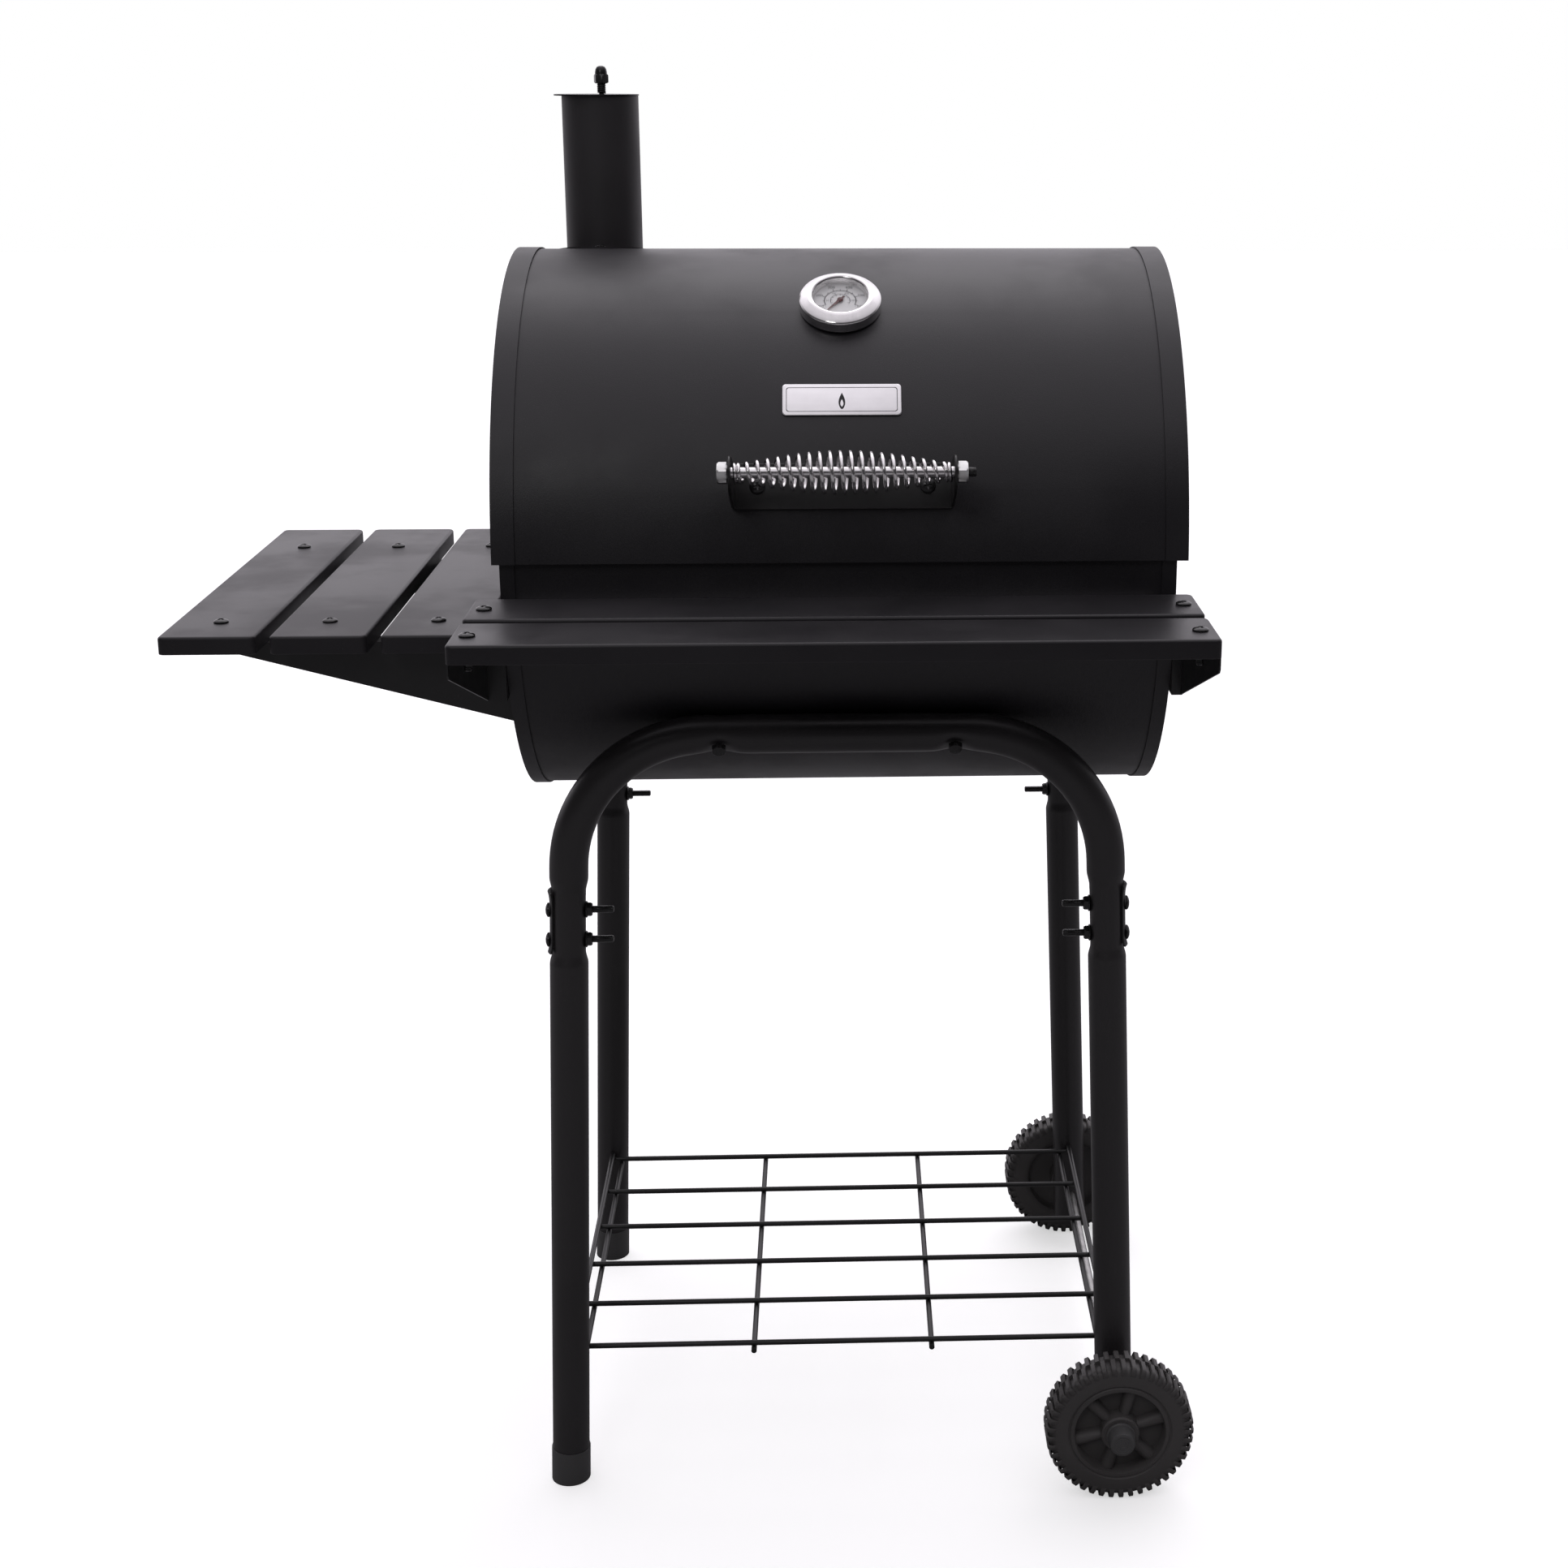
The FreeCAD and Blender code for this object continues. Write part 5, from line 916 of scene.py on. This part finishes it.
def figure(text, size, angle, radius):
    """A number as a flat mesh, its middle at an angle and radius on the dial."""
    curve = bpy.data.curves.new("dial_figure", "FONT")
    curve.body = text
    curve.size = size
    curve.align_x = "CENTER"
    curve.align_y = "CENTER"
    holder = bpy.data.objects.new("dial_figure", curve)
    bpy.context.scene.collection.objects.link(holder)
    mesh = bpy.data.meshes.new_from_object(holder)
    vertices = np.array([tuple(v.co) for v in mesh.vertices])
    faces = [tuple(p.vertices) for p in mesh.polygons]
    bpy.data.objects.remove(holder)
    bpy.data.curves.remove(curve)
    bpy.data.meshes.remove(mesh)
    vertices[:, :2] += radius * np.array([math.cos(angle), math.sin(angle)])
    vertices[:, 2] = MARK_HEIGHT
    return vertices, faces


def make_gauge_case():
    """A turned steel drum with a rolled bezel, a plain stem into the lid and a nut on it."""
    profile = [(21.7, 2.2), (21.7, 10.6), (22.0, 11.8), (22.8, 12.9), (24.0, 13.5), (25.2, 13.4),
               (26.6, 12.7), (29.4, 11.0), (31.6, 9.7), (32.6, 8.9), (33.0, 8.1), (32.9, 7.4),
               (32.7, 0.5), (32.4, 0.1), (21.7, 0.1), (21.7, 2.2)]
    shell = turned(profile, GAUGE_PLACE, GAUGE_AXES, 96, cap_first=False, cap_last=False)
    stem = turned([(4.0, 0.5), (4.0, -50.0), (3.2, -52.0), (1.0, -52.6)], GAUGE_PLACE, GAUGE_AXES, 24)
    nut = hexagonal([(9.0, -1.6), (9.0, -5.5), (8.0, -6.4), (4.2, -6.4)], GAUGE_PLACE, GAUGE_AXES)
    piece("gauge_shell", joined(shell, stem), "gauge_steel", "lid", replaces=["thermometer_case"])
    piece("gauge_nut", nut, "zinc", "lid", replaces=["thermometer_nut"])


def make_dial():
    """A sunken disc with two scales: bands, ticks and round numbers."""
    profile = [(21.6, 5.6), (21.6, DIAL_HEIGHT - 0.1), (21.4, DIAL_HEIGHT), (1.3, DIAL_HEIGHT), (1.3, 5.6)]
    dial = turned(profile, GAUGE_PLACE, GAUGE_AXES, 72, cap_first=False, cap_last=False)
    piece("gauge_face", dial, "gauge_dial", "lid", replaces=["thermometer_dial"])
    marks = [arc_band(OUTER_SCALE, 0.8), arc_band(INNER_SCALE, 0.55)]
    for k in range(11):
        marks.append(tick(scale_angle(k, 10), OUTER_SCALE, 15.2 if k % 2 == 0 else 14.2, 0.6))
    for k in range(9):
        marks.append(tick(scale_angle(k, 8), 6.4, INNER_SCALE, 0.45))
    for k, text in enumerate(("100", "200", "300", "400", "500", "600")):
        marks.append(figure(text, 3.9, scale_angle(k, 5), 17.9))
    for k, text in enumerate(("50", "100", "200", "300")):
        marks.append(figure(text, 2.5, scale_angle(k + 0.4, 3.8), 10.2))
    vertices, faces = joined(*marks)
    piece("gauge_marks", (placed(vertices, GAUGE_PLACE, GAUGE_AXES), faces), "gauge_mark", "lid")


def make_gauge_lens():
    """A thin flat glass with rounded edges."""
    profile = [(0.02, 8.9), (21.4, 8.9), (21.6, 9.0), (21.6, 9.5), (21.4, 9.6), (0.02, 9.6)]
    piece("gauge_lens", turned(profile, GAUGE_PLACE, GAUGE_AXES, 72), "gauge_glass", "lid",
          replaces=["thermometer_lens"])


def make_needle():
    """A flat tapered blade with a short tail, and the boss it turns on."""
    outline = round_corners([(-5.0, -1.2), (-4.0, -0.7), (0.0, -1.4), (16.4, -0.4), (16.4, 0.4), (0.0, 1.4),
                             (-4.0, 0.7), (-5.0, 1.2)], 0.4)
    c, s = math.cos(NEEDLE_ANGLE), math.sin(NEEDLE_ANGLE)
    spin = np.array([[c, s, 0], [-s, c, 0], [0, 0, 1]])
    blade = plate(outline, 0.5, GAUGE_PLACE + GAUGE_AXES[2] * 7.4, spin @ GAUGE_AXES, 0.1)
    boss = turned([(2.4, 6.9), (2.4, 8.0), (1.8, 8.4), (0.1, 8.5)], GAUGE_PLACE, GAUGE_AXES, 28)
    piece("gauge_needle", joined(blade, boss), "gauge_pointer", "pointer",
          replaces=["thermometer_pointer"])


def make_gauge_vent():
    """A small hole in the drum's lower side, drawn as a shallow dish that stands on it, dark as painted shade
    of the hole's inside.
    """
    low_side = GAUGE_PLACE - GAUGE_AXES[1] * 32.25 + GAUGE_AXES[2] * 3.6
    profile = [(0.9, -0.2), (0.9, 0.12), (0.6, 0.16), (0.05, 0.05)]
    dish = turned(profile, low_side, axes_of(-GAUGE_AXES[1]), 20)
    # The dish gets the dark mark colour as painted shade where the hole's inside would be.
    piece("gauge_vent", dish, "gauge_mark", "lid")


BADGE_TILT = math.radians(55.8)
BADGE_WIDTH = 93.0
BADGE_HEIGHT = 27.0
BADGE_TOP = 1.2


def make_badge():
    """A satin plate with rounded edges, a thin dark border and one plain flame."""
    axes = lid_frame(BADGE_TILT)
    origin = lid_point(6.0, BADGE_TILT, 0.62)
    levels = [(0.5, 0.0), (0.0, 0.3), (0.0, 0.7), (0.2, 1.0), (0.7, 1.18)]
    loops = [(rounded_rectangle(BADGE_WIDTH - 2 * i, BADGE_HEIGHT - 2 * i, 3.0), h) for i, h in levels]
    piece("badge_plate", stack(loops, origin, axes), "badge_steel", "lid", replaces=["nameplate"])
    border = [(rounded_rectangle(BADGE_WIDTH - i, BADGE_HEIGHT - i, 2.0), BADGE_TOP) for i in (6.0, 7.0)]
    t = np.linspace(0, 2 * np.pi, 60, endpoint=False)
    swell = np.sin(t / 2) ** 1.6
    flame = np.column_stack([4.4 * swell * np.sin(t) + 1.0 * np.sin(2 * t) * swell, -1.2 + 7.2 * np.cos(t)])
    core = flame * 0.45 + (0.0, -2.4)
    drop = [(flame, BADGE_TOP), (core, BADGE_TOP)]
    vertices, faces = joined(*(surface(level_points(loops), wrap_columns=True) for loops in (border, drop)))
    piece("badge_marks", (placed(vertices, origin, axes), faces), "gauge_mark", "lid")


ROD_Y = local(middle("handle_nut"))[1]
ROD_Z = middle("handle_nut")[2]
HANDLE_X = 6.0
HANDLE_HALF = 86.0
HANDLE_TILT = math.radians(73.0)
ROD_LEFT = HANDLE_X - HANDLE_HALF - 0.2
ROD_RIGHT = HANDLE_X + HANDLE_HALF + 0.2
BRACKET_HALF_HEIGHT = 18.0
BRACKET_SKIN = 1.9
BRACKET_SCREW_X = 66.0
COIL_TURNS = 23.0
COIL_WIRE = 1.45
COIL_END_RADIUS = 6.4
COIL_MIDDLE_RADIUS = 15.4
CHIMNEY_X = -200.3
CHIMNEY_Y = 80.0
FLANGE_SCREW_REACH = 41.0


def make_handle_bracket():
    """A folded sheet: a back that lies on the lid and two ears that hold the rod."""
    axes = lid_frame(HANDLE_TILT)
    centre = lid_point(HANDLE_X, HANDLE_TILT, 0.35)
    wide, high = HANDLE_HALF - 0.1, BRACKET_HALF_HEIGHT
    rectangle = [(-wide, -high), (wide, -high), (wide, high), (-wide, high)]
    back = plate(round_corners(rectangle, 3.0), BRACKET_SKIN, centre, axes, 0.5)
    foot_low = centre - axes[1] * high
    foot_high = centre + axes[1] * high
    outline = round_corners([
        (foot_low[1] - 0.8, foot_low[2] + 0.4), (ROD_Y - 3.0, ROD_Z - 16.5), (ROD_Y - 12.0, ROD_Z - 8.0),
        (ROD_Y - 12.5, ROD_Z + 6.0), (ROD_Y - 4.0, ROD_Z + 13.6), (ROD_Y + 8.0, ROD_Z + 12.0),
        (foot_high[1] - 0.8, foot_high[2] - 0.4),
    ], 7.0)
    ear_axes = np.array([[0.0, 1.0, 0.0], [0.0, 0.0, 1.0], [1.0, 0.0, 0.0]])
    ear_places = (HANDLE_X - HANDLE_HALF + 0.05, HANDLE_X + HANDLE_HALF - BRACKET_SKIN - 0.05)
    ears = [plate(outline, BRACKET_SKIN, (x, 0.0, 0.0), ear_axes, 0.45) for x in ear_places]
    piece("handle_bracket_sheet", joined(back, *ears), "bracket_paint", "lid",
          replaces=["handle_bracket"], merge=0.0001)


def make_grip_rod():
    """A bright rod with a hexagon on each end, and the tip of its thread beyond the right one."""
    along = axes_of((1.0, 0.0, 0.0), (0.0, 0.0, 1.0))
    rod = turned([(4.4, 0.0), (4.4, 2 * HANDLE_HALF + 0.4)], (ROD_LEFT, ROD_Y, ROD_Z), along, 40)
    piece("grip_rod", rod, "handle_steel", "lid", replaces=["handle_rod"])
    chamfered = [(7.6, 0.0), (9.0, 0.9), (9.0, 6.6), (7.8, 8.0), (7.4, 8.3), (0.1, 8.4)]
    ends = [hexagonal(chamfered, (x, ROD_Y, ROD_Z), axes_of((way, 0.0, 0.0), (0.0, 0.3, 1.0)))
            for x, way in ((ROD_LEFT, -1.0), (ROD_RIGHT, 1.0))]
    piece("grip_hex_ends", joined(*ends), "zinc", "lid", replaces=["handle_nut"], sharp=25.0)
    tip = threaded_end((ROD_RIGHT + 8.0, ROD_Y, ROD_Z), along, 6.6, 3.9)
    piece("grip_rod_tip", tip, "black_bolt", "lid")


def make_grip_coil():
    """A helix whose radius swells like a sine towards its middle, with its end turns close together."""
    part = np.linspace(0, 1, int(COIL_TURNS * 36))
    half = HANDLE_HALF - 2.3 - COIL_WIRE
    close = 1.6 / COIL_TURNS
    spread = np.interp(part, (0.0, close, 1 - close, 1.0), (0.0, 0.03, 0.97, 1.0))
    swell = np.sin(np.pi * np.clip((spread - 0.02) / 0.96, 0, 1)) ** 1.1
    radius = COIL_END_RADIUS + (COIL_MIDDLE_RADIUS - COIL_END_RADIUS) * swell
    angle = 2 * np.pi * COIL_TURNS * part
    x = HANDLE_X - half + 2 * half * spread
    path = np.column_stack([x, ROD_Y + radius * np.cos(angle), ROD_Z + radius * np.sin(angle)])
    piece("grip_coil", swept(path, COIL_WIRE, sides=12, up=(1.0, 0.0, 0.0)), "handle_steel", "grip",
          replaces=["handle_coil"])


def make_lid_screws():
    """Two screws in the handle's bracket and four round the chimney, all with nuts inside the lid."""
    out = lid_frame(HANDLE_TILT)[2]
    places = [HANDLE_X + side * BRACKET_SCREW_X for side in (-1.0, 1.0)]
    parts = [screw_head(lid_point(x, HANDLE_TILT, 2.2), axes_of(out, (1, 0.5, 0)), 6.1, 3.0) for x in places]
    for x in places:
        inner = lid_point(x, HANDLE_TILT, -1.4)
        parts.append(flange_nut(inner, axes_of(-out)))
        parts.append(threaded_end(inner - out * 4.0, axes_of(-out), 7.0))
    for along_x, along_y in ((0, -1), (1, 0), (0, 1), (-1, 0)):
        x = CHIMNEY_X + along_x * FLANGE_SCREW_REACH
        tilt = -math.asin((CHIMNEY_Y + along_y * FLANGE_SCREW_REACH) / LID_RADIUS)
        out = lid_frame(tilt)[2]
        parts.append(screw_head(lid_point(x, tilt, 2.2), axes_of(out, (1, 0.4, 0)), 4.6, 2.6))
        parts.append(flange_nut(lid_point(x, tilt, -1.3), axes_of(-out), 4.4, 4.4))
    piece("lid_screws", joined(*parts), "black_bolt", "lid", replaces=["lid_bolts"],
          sharp=SCREW_SHARP)


# ---------------------------------------------------------------- stage, lights and camera

CAMERA_PLACE = np.array([2.06, -2005.98, 1196.2])
CAMERA_PITCH = 0.2653
CAMERA_YAW = 0.0437
CAMERA_ROLL = 0.0024
CAMERA_LENS = 53.31
CAMERA_SHIFT = (-0.0979, -0.0539)


def make_stage():
    """A wide pale floor, darker to every ray but the camera's so that it lights the grill less."""
    floor = bpy.data.meshes.new("studio_floor")
    reach = 14.0
    floor_corners = [(-reach, -reach, 0), (reach, -reach, 0), (reach, reach, 0), (-reach, reach, 0)]
    floor.from_pydata(floor_corners, [], [(0, 1, 2, 3)])
    obj = bpy.data.objects.new("studio_floor", floor)
    bpy.context.scene.collection.objects.link(obj)
    material, nodes, shader = begin("studio_white", Roughness=0.9, Specular_IOR_Level=0.1)
    seen = nodes.add("ShaderNodeLightPath").outputs["Is Camera Ray"]
    tone = nodes.mix(seen, (0.28, 0.28, 0.28, 1.0), (0.8, 0.8, 0.8, 1.0))
    nodes.link(tone, shader.inputs["Base Color"])
    shader.inputs["Emission Color"].default_value = (1.0, 1.0, 1.0, 1.0)
    nodes.link(nodes.math("MULTIPLY", seen, 0.55), shader.inputs["Emission Strength"])
    floor.materials.append(material)


def soft_light(name, place, aim, size, power):
    """A rectangular lamp of a (width, height) size that faces an aim."""
    lamp = bpy.data.lights.new(name, "AREA")
    lamp.shape = "RECTANGLE"
    lamp.size, lamp.size_y = size
    lamp.energy = power
    obj = bpy.data.objects.new(name, lamp)
    bpy.context.scene.collection.objects.link(obj)
    direction = Vector(aim) - Vector(place)
    obj.rotation_euler = direction.to_track_quat("-Z", "Y").to_euler()
    obj.location = place


def make_lights():
    """A white room that is bright behind and above the grill and dim in front of it, with two soft lamps."""
    world = bpy.data.worlds.new("studio")
    bpy.context.scene.world = world
    world.use_nodes = True
    nodes = Nodes(world.node_tree)
    background = world.node_tree.nodes["Background"]
    where = nodes.add("ShaderNodeSeparateXYZ")
    nodes.link(nodes.add("ShaderNodeTexCoord").outputs["Generated"], where.inputs[0])
    behind = nodes.ramp(where.outputs["Y"], -0.1, 0.85, 0.0, 0.95)
    above = nodes.ramp(where.outputs["Z"], 0.4, 0.95, 0.0, 0.85)
    room = nodes.math("ADD", nodes.math("ADD", behind, above), 0.05)
    seen = nodes.add("ShaderNodeLightPath").outputs["Is Camera Ray"]
    strength = nodes.add("ShaderNodeMix", data_type="FLOAT")
    nodes.link(seen, strength.inputs[0])
    nodes.link(room, strength.inputs[2])
    strength.inputs[3].default_value = 1.0
    nodes.link(nodes.mix(seen, (1.0, 0.955, 1.02, 1.0), (1.0, 1.0, 1.0, 1.0)), background.inputs["Color"])
    nodes.link(strength.outputs[0], background.inputs["Strength"])
    soft_light("top_back", (0.1, 1.2, 3.2), (0.1, 0.0, 0.9), (3.2, 2.0), 9.0)
    soft_light("front_high", (-0.9, -2.8, 2.6), (0.1, 0.0, 0.7), (0.8, 0.8), 7.0)
    bpy.context.scene.view_settings.view_transform = "Standard"


def make_camera():
    data = bpy.data.cameras.new("studio_camera")
    data.lens = CAMERA_LENS
    data.sensor_width = 36.0
    data.shift_x, data.shift_y = CAMERA_SHIFT
    obj = bpy.data.objects.new("studio_camera", data)
    bpy.context.scene.collection.objects.link(obj)
    level = math.cos(CAMERA_PITCH)
    forward = Vector((math.sin(CAMERA_YAW) * level, math.cos(CAMERA_YAW) * level, -math.sin(CAMERA_PITCH)))
    right = Vector((math.cos(CAMERA_YAW), -math.sin(CAMERA_YAW), 0.0))
    up = right.cross(forward)
    c, s = math.cos(CAMERA_ROLL), math.sin(CAMERA_ROLL)
    right, up = right * c + up * s, up * c - right * s
    turn = Matrix((right, up, -forward)).transposed()
    obj.matrix_world = Matrix.Translation(Vector((CAMERA_PLACE + ORIGIN) * MM)) @ turn.to_4x4()
    bpy.context.scene.camera = obj


make_wheels()
make_axle_caps()
make_legs()
make_slat_screws()
make_frame_screws()
make_joint_screws()
make_rail_seams()
make_joint_plates()
make_slats()
make_damper_screw()
make_gauge_case()
make_dial()
make_gauge_lens()
make_needle()
make_gauge_vent()
make_badge()
make_handle_bracket()
make_grip_rod()
make_grip_coil()
make_lid_screws()
make_stage()
make_lights()
make_camera()
